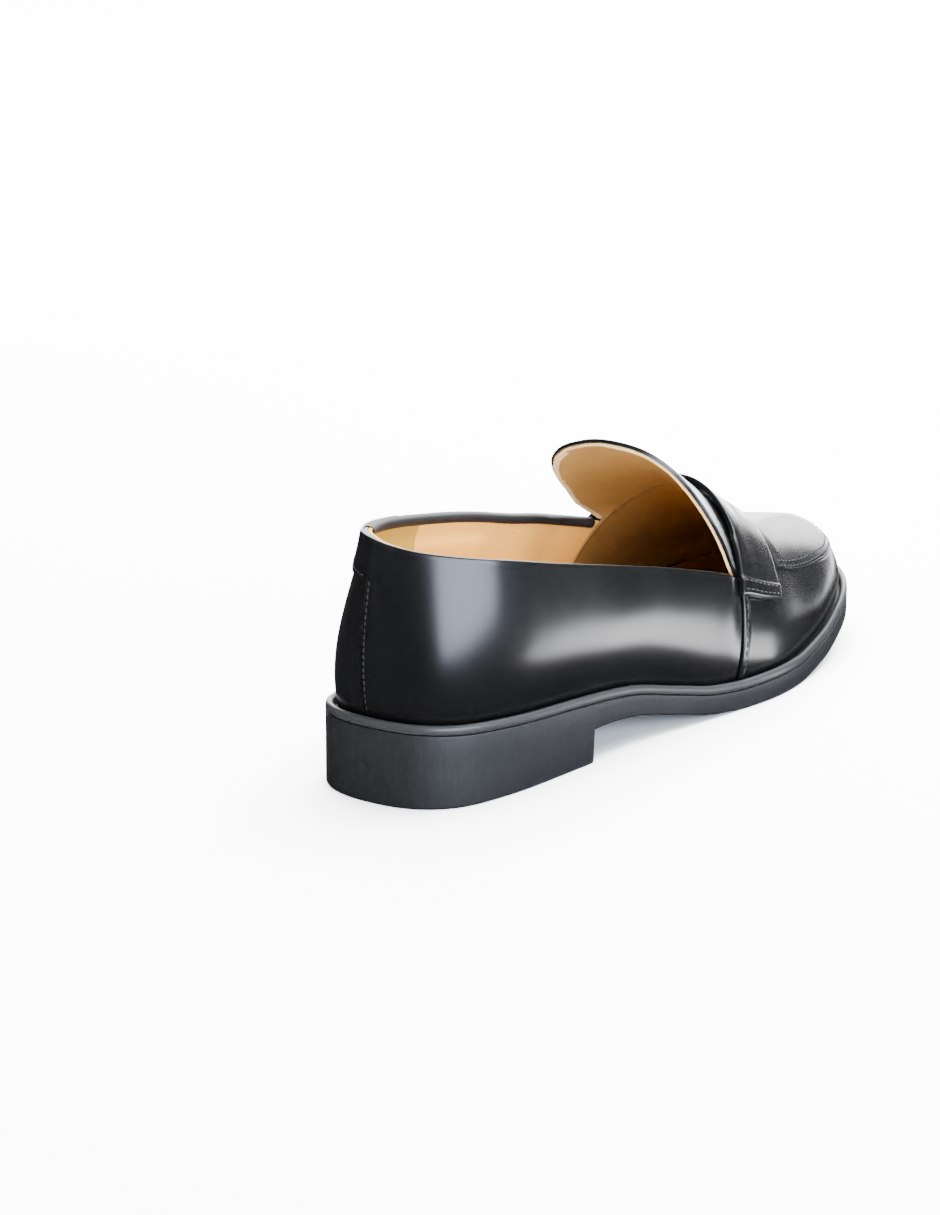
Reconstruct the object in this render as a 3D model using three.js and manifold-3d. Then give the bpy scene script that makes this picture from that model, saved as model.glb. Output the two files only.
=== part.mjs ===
// Penny loafer, right foot. Millimetres: +X to the toe, +Y to the inner side of the foot, +Z up.
// The shoe is drawn on its last: a smooth foot form whose surface every leather piece follows.
import * as THREE from 'three';
import { mergeVertices } from 'three/addons/utils/BufferGeometryUtils.js';
import Module from 'manifold-3d';

const wasm = await Module();
wasm.setup();

// Driving dimensions
const soleLength = 268;
const ballWidth = 91;
const backHeight = 88; // floor to the topline at the back
const heelLength = 74.4;
const soleEdge = 6.8; // thickness of the sole's edge under the groove
const beadHeight = 3; // the moulded rand above the groove
const beadWidth = 2.5;
const uppersInset = 4.2; // leather to the sole's outline where it meets the sole, in plan
const leather = 1.2;
const lining = 0.8;
const stiffener = 1; // heel counter and toe puff
const strapThickness = 1.7;
const strapRearLift = 1.1; // the strap's rear edge stands proud of the tongue and quarters
const strapBar = 0.9; // how much thicker the folded ends of the strap are
const heelTabThickness = 0.9;
const insoleThickness = 2;
const sockThickness = 1.2;
const heelPadThickness = 2;
const fillerThickness = 1.2;
const lastingMargin = 8; // leather turned under the insole board
const shankWidth = 12;
const shankThickness = 1.2;
const rivetRadius = 1.5;
const rivetHeadRadius = 3;
const rivetHeadHeight = 0.8;
const slotLengthShare = 6 / 14; // penny slot, as a share of the strap's half length
const slotHalfWidth = 1.6;
const threadRadius = 0.35;
const gap = 0.3; // between pieces that lie on each other

// The last is drawn at these sizes and scaled to the ones above.
const drawnLength = 268;
const drawnWidth = 91;
const drawnHeight = 88;
const kx = soleLength / drawnLength;
const ky = ballWidth / drawnWidth;
const kz = backHeight / drawnHeight;

// Sole outline, from the back round the outer side to the toe tip and home along the inner side
const outlinePoints = [
  [0, 0], [3, -15.4], [12, -25.5], [32, -31.7], [70, -35.1], [105, -37.1], [140, -42.7], [170, -46.6],
  [195, -44.1], [218, -39.5], [240, -30.6], [256, -19.4], [266, -7], [268, 2], [265.5, 11], [257, 22],
  [242, 33], [222, 42], [198, 46], [170, 43], [140, 35], [105, 28.5], [70, 31], [32, 31.7], [12, 27],
  [3, 16.6],
];
// Height of the groove between sole and bead along the shoe
const grooveHeights = [
  [0, 25.1], [40, 22.4], [74, 20.3], [95, 18], [120, 12.2], [140, 7.9], [155, 6.8], [185, 6.8],
  [205, 9.5], [225, 13.9], [245, 16.4], [268, 17.3],
];
// Ridge of the instep and toe: the last's top line in its middle plane
const ridgeHeights = [
  [120, 97], [150, 82], [176, 68], [185, 62], [200, 53.8], [215, 47.5], [230, 42.9], [249, 38.6],
  [259, 36],
];
// Where each forepart section meets the ridge: share of the way from toe tip to side seam, and x
const ridgeStations = [
  [-0.2, 247], [0, 250], [0.2, 247], [0.44, 232], [0.66, 215], [0.82, 200], [1, 176],
];
// The apron's edge: share of the way from toe tip to side seam, and share of the section's height
const apronEdge = [
  [-0.2, 0.455], [0, 0.64], [0.2, 0.455], [0.34, 0.465], [0.5, 0.505], [0.74, 0.535], [1, 0.57],
];
const sideSeamOuterX = 151.2;
const sideSeamInnerX = 155.5;
const backSeamY = 3.5; // the back seam sits a little to the inner side
const notchHeightOuter = 42.5;
const notchHeightInner = 52.5;
// Topline behind the notches
const toplineOuter = [
  [153, -38, 46], [144, -37, 49.3], [131, -36, 53], [113, -34.5, 58], [93, -33.3, 63], [73, -32.5, 68],
  [56, -31, 72.2], [40, -28.6, 76.3], [27, -24.5, 79.2], [18.5, -17.5, 80.9], [12.8, -10, 82.2],
  [9.6, -3, 83.6],
];
const toplineBack = [8.2, 4, 85.4];
const toplineInner = [
  [12, 11, 86], [21.5, 17, 85], [32, 21, 83.3], [45, 23, 81.3], [58, 24.5, 78.8], [79, 26, 74.6],
  [96, 27, 70.6], [115, 28.2, 65.5], [134, 29.3, 61], [150, 31, 56.5],
];
// Free edge of the tongue, outer notch to tip to inner notch
const tongueEdgeOuter = [
  [151, -39.4, 50.5], [147.5, -38.8, 57.5], [145.2, -36, 65], [143.4, -31.4, 72.5], [140.4, -26.7, 79.7],
  [137.4, -21.8, 85.3], [133.3, -13.4, 90.6],
];
const tongueTip = [128, 0, 93];
const tongueEdgeInner = [
  [127, 11, 90.2], [127.6, 15.5, 87.8], [129, 19.2, 84.5], [132, 22, 80.5], [139, 25, 74.5], [148, 27.5, 68],
  [158, 29.6, 60],
];
// Strap, as shares of the forepart from toe tip to side seam
const strapFront = 0.815;
const strapFrontEnd = 0.85;
const strapRear = 0.995;
const strapRearEnd = 1.022; // its ends reach back over the side seams
const strapEndShare = 0.365; // share of the section's height where the strap is sewn down
// Back part, as shares of the way from the back seam to the side seam
const counterReach = 0.56;
const counterTop = 0.78;
const gripReach = 0.34;
const heelTabReach = 0.2;
const heelTabLow = 0.76;
const puffReach = 0.34;
const puffTop = 0.66;
const tongueSpan = 0.97; // share of the instep arch that the tongue takes

const vector = (x, y, z) => new THREE.Vector3(x, y, z);
const lerp = THREE.MathUtils.lerp;
const smooth = (value, low, high) => THREE.MathUtils.smoothstep(value, low, high);
const placed = ([x, y, z]) => vector(x * kx, y * ky, z * kz);
const steps = (from, to, count) => Array.from({ length: count + 1 }, (_, i) => lerp(from, to, i / count));

// Monotone smooth curve through [station, value] pairs, level beyond its ends
function through(pairs) {
  const rise = pairs.slice(1).map(([x, y], i) => (y - pairs[i][1]) / (x - pairs[i][0]));
  const slope = pairs.map((_, i) => {
    const before = rise[Math.max(i - 1, 0)];
    const after = rise[Math.min(i, rise.length - 1)];
    return before * after > 0 ? (2 * before * after) / (before + after) : 0;
  });
  return (x) => {
    const next = pairs.findIndex((pair) => pair[0] > x);
    if (next === 0) return pairs[0][1];
    if (next < 0) return pairs.at(-1)[1];
    const [x0, y0] = pairs[next - 1];
    const [x1, y1] = pairs[next];
    const w = x1 - x0;
    const t = (x - x0) / w;
    const h = t * t * (3 - 2 * t);
    const lead = t * (1 - t) * (1 - t) * slope[next - 1];
    const trail = t * t * (1 - t) * slope[next];
    return lerp(y0, y1, h) + w * (lead - trail);
  };
}

const scaled = (pairs) => pairs.map(([x, z]) => [x * kx, z * kz]);
const grooveZ = through(scaled(grooveHeights));
const ridgeZ = through(scaled(ridgeHeights));
const ridgeX = through(ridgeStations.map(([share, x]) => [share, x * kx]));
const apronShare = through(apronEdge);
const featherZ = (x) => grooveZ(x) + gap + 0.1;
const shankSwell = (x) => 2.3 * Math.exp(-(x - heelLength) / 18); // thicker edge just ahead of the heel
const soleBottomZ = (x) => (x < heelLength ? 0 : Math.max(0, grooveZ(x) - soleEdge - shankSwell(x)));

// Sole outline as a closed curve, and points inside it
const outline = new THREE.CatmullRomCurve3(
  outlinePoints.map(([x, y]) => placed([x, y, 0])), true, 'centripetal');
outline.arcLengthDivisions = 800;

function outlineAt(share, inset = 0) {
  const u = ((share % 1) + 1) % 1;
  const point = outline.getPointAt(u);
  const along = outline.getTangentAt(u);
  const out = vector(along.y, -along.x, 0).normalize();
  return { point: point.addScaledVector(out, -inset), out };
}

const toeShare = steps(0, 1, 1000).reduce((best, u) =>
  (outline.getPointAt(u).x > outline.getPointAt(best).x ? u : best));

// Share of the outline where the line `inset` inside it reaches x, on the outer (-1) or inner (1) side
function shareAt(x, side, inset = 0) {
  let heel = side < 0 ? 0 : 1;
  let toe = toeShare;
  for (let i = 0; i < 40; i += 1) {
    const middle = (heel + toe) / 2;
    if (outlineAt(middle, inset).point.x < x) heel = middle;
    else toe = middle;
  }
  return heel;
}

const seamShare = { outer: shareAt(sideSeamOuterX * kx, -1), inner: shareAt(sideSeamInnerX * kx, 1) };
const frontShare = (f) => lerp(toeShare, f < 0 ? seamShare.outer : seamShare.inner, Math.abs(f));
const backShare = -(backSeamY * ky) / outline.getLength();
const rearShare = (g) =>
  (g < 0 ? lerp(backShare, seamShare.outer, -g) : lerp(1 + backShare, seamShare.inner, g));

function footPoint(share) {
  const { point, out } = outlineAt(share, uppersInset);
  point.z = featherZ(point.x);
  return { foot: point, out };
}

// Forepart section f: -1 outer side seam, 0 toe tip, 1 inner side seam. It climbs from sole to ridge.
function frontSection(f) {
  const reach = Math.abs(f);
  const { foot, out } = footPoint(frontShare(f));
  const x = ridgeX(reach);
  const ridge = vector(x, 0, ridgeZ(x));
  const slope = (ridgeZ(x + 1) - ridgeZ(x - 1)) / 2;
  const belly = lerp(2.8, 9.5, reach ** 1.5) * ky;
  const low = foot.clone().addScaledVector(out, belly);
  low.z += lerp(0.52, 0.43, smooth(reach, 0.1, 0.6)) * (ridge.z - foot.z);
  const shoulderX = x + lerp(0.5, 0.12, smooth(reach, 0.2, 0.9)) * (foot.x - x);
  const shoulderY = lerp(0.56, 0.62, smooth(reach, 0, 0.9)) * foot.y;
  const shoulder = vector(shoulderX, shoulderY, ridge.z + slope * (shoulderX - x));
  return new THREE.CubicBezierCurve3(foot, low, shoulder, ridge);
}

function shareOfHeight(section, z) {
  let low = 0;
  let high = 1;
  for (let i = 0; i < 40; i += 1) {
    const middle = (low + high) / 2;
    if (section.getPoint(middle).z < z) low = middle;
    else high = middle;
  }
  return low;
}

const notchShare = {
  outer: shareOfHeight(frontSection(-1), notchHeightOuter * kz),
  inner: shareOfHeight(frontSection(1), notchHeightInner * kz),
};
const notch = {
  outer: frontSection(-1).getPoint(notchShare.outer),
  inner: frontSection(1).getPoint(notchShare.inner),
};

// The part of a section below share t, as a section of its own
function lowerPart(section, t) {
  const { v0, v1, v2 } = section;
  const a = v0.clone().lerp(v1, t);
  const b = v1.clone().lerp(v2, t);
  return new THREE.CubicBezierCurve3(v0, a, a.clone().lerp(b, t), section.getPoint(t));
}

const seamSection = {
  outer: lowerPart(frontSection(-1), notchShare.outer),
  inner: lowerPart(frontSection(1), notchShare.inner),
};

// An open line with a known middle point: -1 its outer end, 0 the middle, 1 its inner end
function twoSidedLine(outer, middle, inner) {
  const line = new THREE.CatmullRomCurve3([...outer, middle, ...inner], false, 'centripetal');
  line.arcLengthDivisions = 400;
  const lengths = line.getLengths(400);
  const middleIndex = Math.round((400 * outer.length) / (outer.length + inner.length));
  const middleShare = lengths[middleIndex] / lengths.at(-1);
  return (side) =>
    line.getPointAt(side < 0 ? lerp(middleShare, 0, -side) : lerp(middleShare, 1, side));
}

const toplineAt = twoSidedLine(
  [notch.outer, ...toplineOuter.map(placed)],
  placed(toplineBack),
  [...toplineInner.map(placed), notch.inner],
);
const tongueEdgeAt = twoSidedLine(
  [notch.outer, ...tongueEdgeOuter.map(placed)],
  placed(tongueTip),
  [...tongueEdgeInner.map(placed), notch.inner],
);

const lowBelly = through([[0, 6.8], [0.3, 9], [0.75, 9]]);
const highBelly = through([[0, 2.2], [0.25, 3], [0.7, 5.3]]);

// Back section g: -1 outer side seam, 0 back seam, 1 inner side seam. It climbs from sole to topline.
function rearSection(g) {
  const reach = Math.abs(g);
  const { foot, out } = footPoint(rearShare(g));
  const top = toplineAt(g);
  const seam = g < 0 ? seamSection.outer : seamSection.inner;
  const blend = smooth(reach, 0.55, 1);
  const handle = (third, control, belly) => {
    const atSeam = control.clone().sub(seam.v0.clone().lerp(seam.v3, third));
    return foot.clone().lerp(top, third).add(out.clone().multiplyScalar(belly * ky).lerp(atSeam, blend));
  };
  const low = handle(1 / 3, seam.v1, lowBelly(reach));
  const high = handle(2 / 3, seam.v2, highBelly(reach));
  return new THREE.CubicBezierCurve3(foot, low, high, top);
}

// A point of a section; below zero it lies on the lasting margin, turned in under the insole board
function sectionPoint(section, share, t) {
  if (t >= 0) return section.getPoint(t);
  const { point } = outlineAt(share, uppersInset - t * lastingMargin);
  point.z = featherZ(point.x);
  return point;
}

const frontPoint = (f, t) => sectionPoint(frontSection(f), frontShare(f), t);
const rearPoint = (g, t) => sectionPoint(rearSection(g), rearShare(g), t);

// The tongue: rows across the instep, from its root under the strap (0) to its free edge (1)
function tonguePoint(across, back) {
  const notched = across < 0 ? notchShare.outer : notchShare.inner;
  const root = frontPoint(Math.sign(across) || 1, lerp(1, notched, Math.abs(across)));
  return root.lerp(tongueEdgeAt(across), back);
}

// Closed body between an outer and an inner skin that share one set of faces
function closedBody(outer, inner, faces) {
  const edges = new Set(faces.flatMap(([a, b, c]) => [`${a}_${b}`, `${b}_${c}`, `${c}_${a}`]));
  const count = outer.length;
  const triangles = [];
  for (const [a, b, c] of faces) {
    triangles.push([a, b, c], [count + a, count + c, count + b]);
    for (const [from, to] of [[a, b], [b, c], [c, a]]) {
      if (edges.has(`${to}_${from}`)) continue;
      triangles.push([to, from, count + from], [to, count + from, count + to]);
    }
  }
  return bodyOf([...outer, ...inner], triangles);
}

function bodyOf(points, triangles) {
  const shape = new THREE.BufferGeometry();
  const places = points.flatMap((p) => [p.x, p.y, p.z]);
  shape.setAttribute('position', new THREE.Float32BufferAttribute(places, 3));
  shape.setIndex(triangles.flat());
  const merged = mergeVertices(shape, 1e-3);
  const kept = [];
  for (let i = 0; i < merged.index.count; i += 3) {
    const corner = [0, 1, 2].map((k) => merged.index.getX(i + k));
    if (new Set(corner).size === 3) kept.push(...corner);
  }
  merged.setIndex(kept);
  merged.computeVertexNormals();
  return merged;
}

// Grid of cells over rows and columns; points that coincide become one
function gridOf(rows, columns, pointAt, keepCell = () => true) {
  const seen = new Map();
  const points = [];
  const places = [];
  const ids = rows.map((row) => columns.map((column) => {
    const point = pointAt(row, column);
    const key = point.toArray().map((v) => v.toFixed(3)).join();
    if (!seen.has(key)) {
      seen.set(key, points.length);
      points.push(point);
      places.push([row, column]);
    }
    return seen.get(key);
  }));
  const faces = [];
  for (let i = 0; i + 1 < rows.length; i += 1) {
    for (let j = 0; j + 1 < columns.length; j += 1) {
      if (!keepCell(i, j)) continue;
      const [a, b, c, d] = [ids[i][j], ids[i + 1][j], ids[i + 1][j + 1], ids[i][j + 1]];
      for (const face of [[a, b, c], [a, c, d]]) {
        if (new Set(face).size === 3) faces.push(face);
      }
    }
  }
  return { points, places, faces };
}

function normalsOf(points, faces) {
  const normals = points.map(() => vector(0, 0, 0));
  for (const [a, b, c] of faces) {
    const across = points[b].clone().sub(points[a]);
    const normal = across.cross(points[c].clone().sub(points[a]));
    for (const corner of [a, b, c]) normals[corner].add(normal);
  }
  return normals.map((normal) => normal.normalize());
}

// A sheet laid on the last: its two skins lie at the heights that layerAt gives, along the normals
function sheet(rows, columns, pointAt, layerAt, keepCell) {
  const { points, places, faces } = gridOf(rows, columns, pointAt, keepCell);
  const normals = normalsOf(points, faces);
  const layers = places.map(([row, column]) => layerAt(row, column));
  const skin = (side) => points.map((p, i) => p.clone().addScaledVector(normals[i], layers[i][side]));
  return closedBody(skin(0), skin(1), faces);
}

// Stations along the shoe, close together where the outline turns
const heelStations = (from, to, count) =>
  steps(0, Math.PI / 2, count).map((angle) => lerp(from, to, 1 - Math.cos(angle)));
const toeStations = (from, to, count) =>
  steps(0, Math.PI / 2, count).map((angle) => lerp(from, to, Math.sin(angle)));

function acrossAt(x, side, inset) {
  return outlineAt(shareAt(x, side, inset), inset).point.y;
}

// A level-sided slab inside the outline; each station is [x, bottom height]
function slab(stations, inset, topZ, columns = steps(0, 1, 4)) {
  const tips = [outlineAt(0, inset).point, outlineAt(toeShare, inset).point];
  const edge = (x, side) => {
    if (x <= tips[0].x + 1e-6) return tips[0].y;
    if (x >= tips[1].x - 1e-6) return tips[1].y;
    return acrossAt(x, side, inset);
  };
  const count = columns.length;
  const topPoints = [];
  const bottomPoints = [];
  for (const [x, bottom] of stations) {
    const [outer, inner] = [edge(x, -1), edge(x, 1)];
    for (const share of columns) {
      const y = lerp(outer, inner, share);
      topPoints.push(vector(x, y, topZ(x)));
      bottomPoints.push(vector(x, y, bottom));
    }
  }
  const faces = [];
  for (let i = 0; i + 1 < stations.length; i += 1) {
    for (let j = 0; j + 1 < count; j += 1) {
      const a = i * count + j;
      faces.push([a, a + count, a + count + 1], [a, a + count + 1, a + 1]);
    }
  }
  return closedBody(topPoints, bottomPoints, faces);
}

// A bar of constant section that runs once round the outline: section points are [inset, height]
function outlineRing(section, count) {
  const points = [];
  const triangles = [];
  const sides = section.length;
  for (let i = 0; i < count; i += 1) {
    for (const [inset, height] of section) {
      const { point } = outlineAt(i / count, inset);
      point.z = grooveZ(point.x) + height;
      points.push(point);
    }
  }
  for (let i = 0; i < count; i += 1) {
    for (let j = 0; j < sides; j += 1) {
      const a = i * sides + j;
      const b = ((i + 1) % count) * sides + j;
      const c = ((i + 1) % count) * sides + ((j + 1) % sides);
      const d = i * sides + ((j + 1) % sides);
      triangles.push([a, c, b], [a, d, c]);
    }
  }
  return bodyOf(points, triangles);
}

// Seam thread: a fine round cord laid on the surface
function thread(points) {
  const section = new THREE.Shape();
  for (let i = 0; i < 5; i += 1) {
    const angle = (i * 2 * Math.PI) / 5;
    const place = [threadRadius * Math.cos(angle), threadRadius * Math.sin(angle)];
    if (i === 0) section.moveTo(...place);
    else section.lineTo(...place);
  }
  section.closePath();
  const path = new THREE.CatmullRomCurve3(points, false, 'centripetal');
  return new THREE.ExtrudeGeometry(section, {
    steps: points.length, bevelEnabled: false, extrudePath: path,
  });
}

// Point at a height over the surface that pointAt(a, b) draws; outward is +1 or -1 by its direction
function above(pointAt, a, b, height, outward) {
  const d = 0.004;
  const alongA = pointAt(a + d, b).sub(pointAt(a - d, b));
  const alongB = pointAt(a, b + d).sub(pointAt(a, b - d));
  const normal = alongA.cross(alongB).normalize();
  return pointAt(a, b).addScaledVector(normal, height * outward);
}

const solidOf = (shape) => {
  const plain = shape.clone();
  plain.deleteAttribute('normal');
  plain.deleteAttribute('uv');
  const merged = mergeVertices(plain, 1e-4);
  const vertProperties = new Float32Array(merged.attributes.position.array);
  const triVerts = new Uint32Array(merged.index.array);
  return new wasm.Manifold(new wasm.Mesh({ numProp: 3, vertProperties, triVerts }));
};

function cut(shape, ...tools) {
  const solid = tools.reduce((left, tool) => left.subtract(solidOf(tool)), solidOf(shape));
  const mesh = solid.getMesh();
  const result = new THREE.BufferGeometry();
  result.setAttribute('position', new THREE.Float32BufferAttribute(mesh.vertProperties, 3));
  result.setIndex(Array.from(mesh.triVerts));
  result.computeVertexNormals();
  return result;
}

// Materials
const finish = (color, roughness, metalness = 0) => () =>
  new THREE.MeshStandardMaterial({ color, roughness, metalness });
const boxLeather = finish('#101113', 0.25);
const soleRubber = finish('#17181a', 0.6);
const beadRubber = finish('#141517', 0.45);
const twill = finish('#e6c193', 0.85);
const suede = finish('#d0a95f', 0.95);
const liningLeather = finish('#a8743a', 0.6);
const board = finish('#a58a63', 0.9);
const stiffBoard = finish('#d8cdb4', 0.8);
const foam = finish('#d9d2c2', 0.95);
const springSteel = finish('#8c9096', 0.4, 0.9);
const cotton = finish('#1b1c1e', 0.7);

const model = new THREE.Group();
function add(name, shape, material) {
  const mesh = new THREE.Mesh(shape, material());
  mesh.name = name;
  model.add(mesh);
}

// Lower edge of the heel tab: a crescent that climbs from the back seam to the inner topline
const tabLow = (g) => lerp(heelTabLow, 0.97, (g / heelTabReach) ** 2);

const upperLayer = () => [0, -leather];
const underLeather = -leather - gap;
const stiffenerLayer = () => [underLeather, underLeather - stiffener];
const seamGap = gap / 150; // the gap as a share of the way from toe tip, or back, to side seam

// Linings dip under the stiffener and lie against the leather elsewhere
const within = (value, limit, ease) => 1 - smooth(value, limit + ease, limit + ease + 0.08);
const overCounter = (g, t) => within(Math.abs(g), counterReach, 0.01) * within(t, counterTop, 0.02);
const quarterLayer = (g, t) => liningLayer(overCounter(g, t));
const overPuff = (f, t) => within(Math.abs(f), puffReach, 0.01) * within(t, puffTop, 0.02);
function liningLayer(cover) {
  const top = underLeather - cover * (stiffener + gap);
  return [top, top - lining];
}

// Forepart columns are shared by vamp, apron and lining, so their edges run side by side
const frontCount = 22;
const frontReach = [...steps(0, strapFront, frontCount - 5), ...steps(strapFront, 1 - seamGap, 5).slice(1)];
const frontColumns = [...frontReach.slice(1).reverse().map((f) => -f), ...frontReach];
// Back columns and rising rows are shared too, so that layers keep parallel facets
const rearReach = [
  ...steps(0, gripReach, 9),
  ...steps(gripReach, counterReach, 4).slice(1),
  ...steps(counterReach, 1, 7).slice(1),
];
const risingShares = [0.16, 0.3, 0.46, 0.62, counterTop, 0.89, 1];
const upperRows = [-1, -0.4, 0, 0.07, ...risingShares];
const standingRows = [0, ...risingShares];

// Linings and stiffeners stand on the rim of the insole board: no lower than its top, with some room
// where the wall leans in over it
function standing(sectionAt, pointAt, room) {
  const lowest = new Map();
  return (station, t) => {
    if (!lowest.has(station)) {
      const section = sectionAt(station);
      lowest.set(station, shareOfHeight(section, section.v0.z + boardTop + room));
    }
    return pointAt(station, Math.max(t, lowest.get(station)));
  };
}

// Sole unit: forepart and waist, with the block heel moulded on
function addSole() {
  const heelPart = heelStations(0, heelLength, 12).map((x) => [x, 0]);
  const frontPart = toeStations(heelLength, soleLength, 26).map((x) => [x, soleBottomZ(x)]);
  const tip = outlineAt(toeShare).point.x;
  const stations = [...heelPart, ...frontPart].map(([x, bottom]) => [Math.min(x, tip), bottom]);
  add('outsole', slab(stations, 0, grooveZ), soleRubber);
  const top = gap + beadHeight;
  const section = [
    [beadWidth, gap], [beadWidth, top - 0.5], [beadWidth - 0.6, top], [0.8, top], [0, top - 1], [0, gap],
  ];
  add('welt_bead', outlineRing(section, 84), beadRubber);
}

// Heights over the groove of the pieces inside the bottom of the shoe
const boardBottom = gap + 0.1 + leather + gap;
const boardTop = boardBottom + insoleThickness;
const padBottom = boardTop + gap;
const sockLift = (x) => (heelPadThickness + gap) * (1 - smooth(x, heelLength - 6, heelLength + 24));
const sockBottom = (x) => grooveZ(x) + boardTop + gap + sockLift(x);
const boardInset = uppersInset + leather + gap + 0.6;
const sockInset = uppersInset + leather + gap + stiffener + gap + lining + gap + 1.6;

function innerSlab(inset, from, to, bottomZ, thickness) {
  const back = Math.max(from, outlineAt(0, inset).point.x);
  const front = Math.min(to, outlineAt(toeShare, inset).point.x);
  const middle = (back + front) / 2;
  const xs = [...heelStations(back, middle, 12), ...toeStations(middle, front, 13).slice(1)];
  return slab(xs.map((x) => [x, bottomZ(x)]), inset, (x) => bottomZ(x) + thickness);
}

// Rivets hold the shank to the insole board; grown by a clearance, the same shape cuts their holes
const rivetStations = [heelLength * 0.55, heelLength * 1.1];
function rivet(x, grown) {
  const bottom = grooveZ(x) + gap + 0.05 - (grown ? 3 : 0);
  const head = grooveZ(x) + boardTop - rivetHeadHeight - 0.25 - grown;
  const top = head + rivetHeadHeight + grown + (grown ? 3 : 0);
  const profile = [
    [0, bottom], [rivetRadius + grown, bottom], [rivetRadius + grown, head],
    [rivetHeadRadius + grown, head], [rivetHeadRadius + grown, top], [0, top],
  ];
  const shape = new THREE.LatheGeometry(profile.map(([r, z]) => new THREE.Vector2(r, z)), 20);
  return shape.rotateX(Math.PI / 2).translate(x, 0, 0);
}

function addBottomStack() {
  const holes = rivetStations.map((x) => rivet(x, gap));
  const boardZ = (x) => grooveZ(x) + boardBottom;
  add('insole_board', cut(innerSlab(boardInset, 0, soleLength, boardZ, insoleThickness), ...holes), board);
  const shankRows = steps(heelLength * 0.35, sideSeamOuterX * kx - 4, 26);
  const shankColumns = [-shankWidth / 2, 0, shankWidth / 2];
  const shankPoint = (x, y) => vector(x, y, grooveZ(x) + gap + 0.05);
  const shank = sheet(shankRows, shankColumns, shankPoint, () => [shankThickness, 0]);
  add('shank', cut(shank, ...holes), springSteel);
  add('shank_rivet_rear', rivet(rivetStations[0], 0), springSteel);
  add('shank_rivet_front', rivet(rivetStations[1], 0), springSteel);
  const fillerInset = uppersInset + lastingMargin + gap + 0.5;
  const fillerZ = (x) => grooveZ(x) + gap;
  const fillerBack = sideSeamOuterX * kx;
  add('forepart_filler', innerSlab(fillerInset, fillerBack, soleLength, fillerZ, fillerThickness), foam);
  const padZ = (x) => grooveZ(x) + padBottom;
  add('heel_pad', innerSlab(sockInset + 2, 0, heelLength - 10, padZ, heelPadThickness), foam);
  add('sock_liner', innerSlab(sockInset, 0, soleLength, sockBottom, sockThickness), liningLeather);
}

function addForepart() {
  const vampTop = (f) => apronShare(Math.abs(f)) - 0.004;
  const climb = (f, t) => (t < 0 ? frontPoint(f, t) : frontPoint(f, t * vampTop(f)));
  add('vamp', sheet(frontColumns, upperRows, climb, upperLayer), boxLeather);

  // Apron: across from -1 at its outer edge over the ridge to 1
  const apronPoint = (reach, across) => {
    const t = lerp(1, apronShare(reach) + 0.004, Math.abs(across));
    return frontPoint(across < 0 ? -reach : reach, t);
  };
  const flipped = (reach, across) => apronPoint(reach, -across);
  add('apron', sheet(frontReach, steps(-1, 1, 14), flipped, upperLayer), boxLeather);

  const standingFront = standing(frontSection, frontPoint, 1.6);
  const puffColumns = frontColumns.filter((f) => Math.abs(f) < puffReach);
  const puffRows = standingRows.filter((t) => t <= puffTop);
  add('toe_puff', sheet(puffColumns, puffRows, standingFront, stiffenerLayer), stiffBoard);

  const hoodPoint = (reach, across) => standingFront(across < 0 ? reach : -reach, 1 - Math.abs(across));
  const hoodLayer = (reach, across) => liningLayer(overPuff(reach, 1 - Math.abs(across)));
  const climbing = standingRows.map((t) => t - 1);
  const hoodRows = [...climbing, ...climbing.slice(0, -1).reverse().map((row) => -row)];
  add('vamp_lining', sheet(frontReach, hoodRows, hoodPoint, hoodLayer), liningLeather);
}

function addTongue() {
  const across = steps(-tongueSpan, tongueSpan, 18);
  const rows = steps(0, 1, 6);
  const point = (back, side) => tonguePoint(-side, back);
  add('tongue', sheet(rows, across, point, upperLayer), boxLeather);
  add('tongue_lining', sheet(rows, across, point, () => liningLayer(0)), liningLeather);
}

function addStrap() {
  const columns = steps(-1, 1, 28);
  const front = (side) => lerp(strapFront, strapFrontEnd, Math.abs(side));
  const rear = (side) => lerp(strapRear, strapRearEnd, smooth(Math.abs(side), 0.5, 1));
  const middle = (side) => (front(side) + rear(side)) / 2;
  const perMillimetre = (strapRear - strapFront) / 25;
  const opening = (side) => {
    const share = Math.abs(side) / slotLengthShare;
    return share < 0.999 ? slotHalfWidth * perMillimetre * (1 - share ** 2) : 0;
  };
  const lines = [
    front, (side) => lerp(front(side), middle(side), 0.5), (side) => middle(side) - opening(side),
    (side) => middle(side) + opening(side), (side) => lerp(middle(side), rear(side), 0.5), rear,
  ];
  const point = (line, side) => {
    const t = lerp(1, strapEndShare, Math.abs(side));
    return frontPoint(side < 0 ? lines[line](side) : -lines[line](side), t);
  };
  const layer = (line, side) => {
    const seat = lerp(gap, strapRearLift, line / (lines.length - 1));
    return [seat + strapThickness + strapBar * smooth(Math.abs(side), 0.9, 0.94), seat];
  };
  const keep = (line) => line !== 2;
  add('saddle_strap', sheet([0, 1, 2, 3, 4, 5], columns, point, layer, keep), boxLeather);
}

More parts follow.
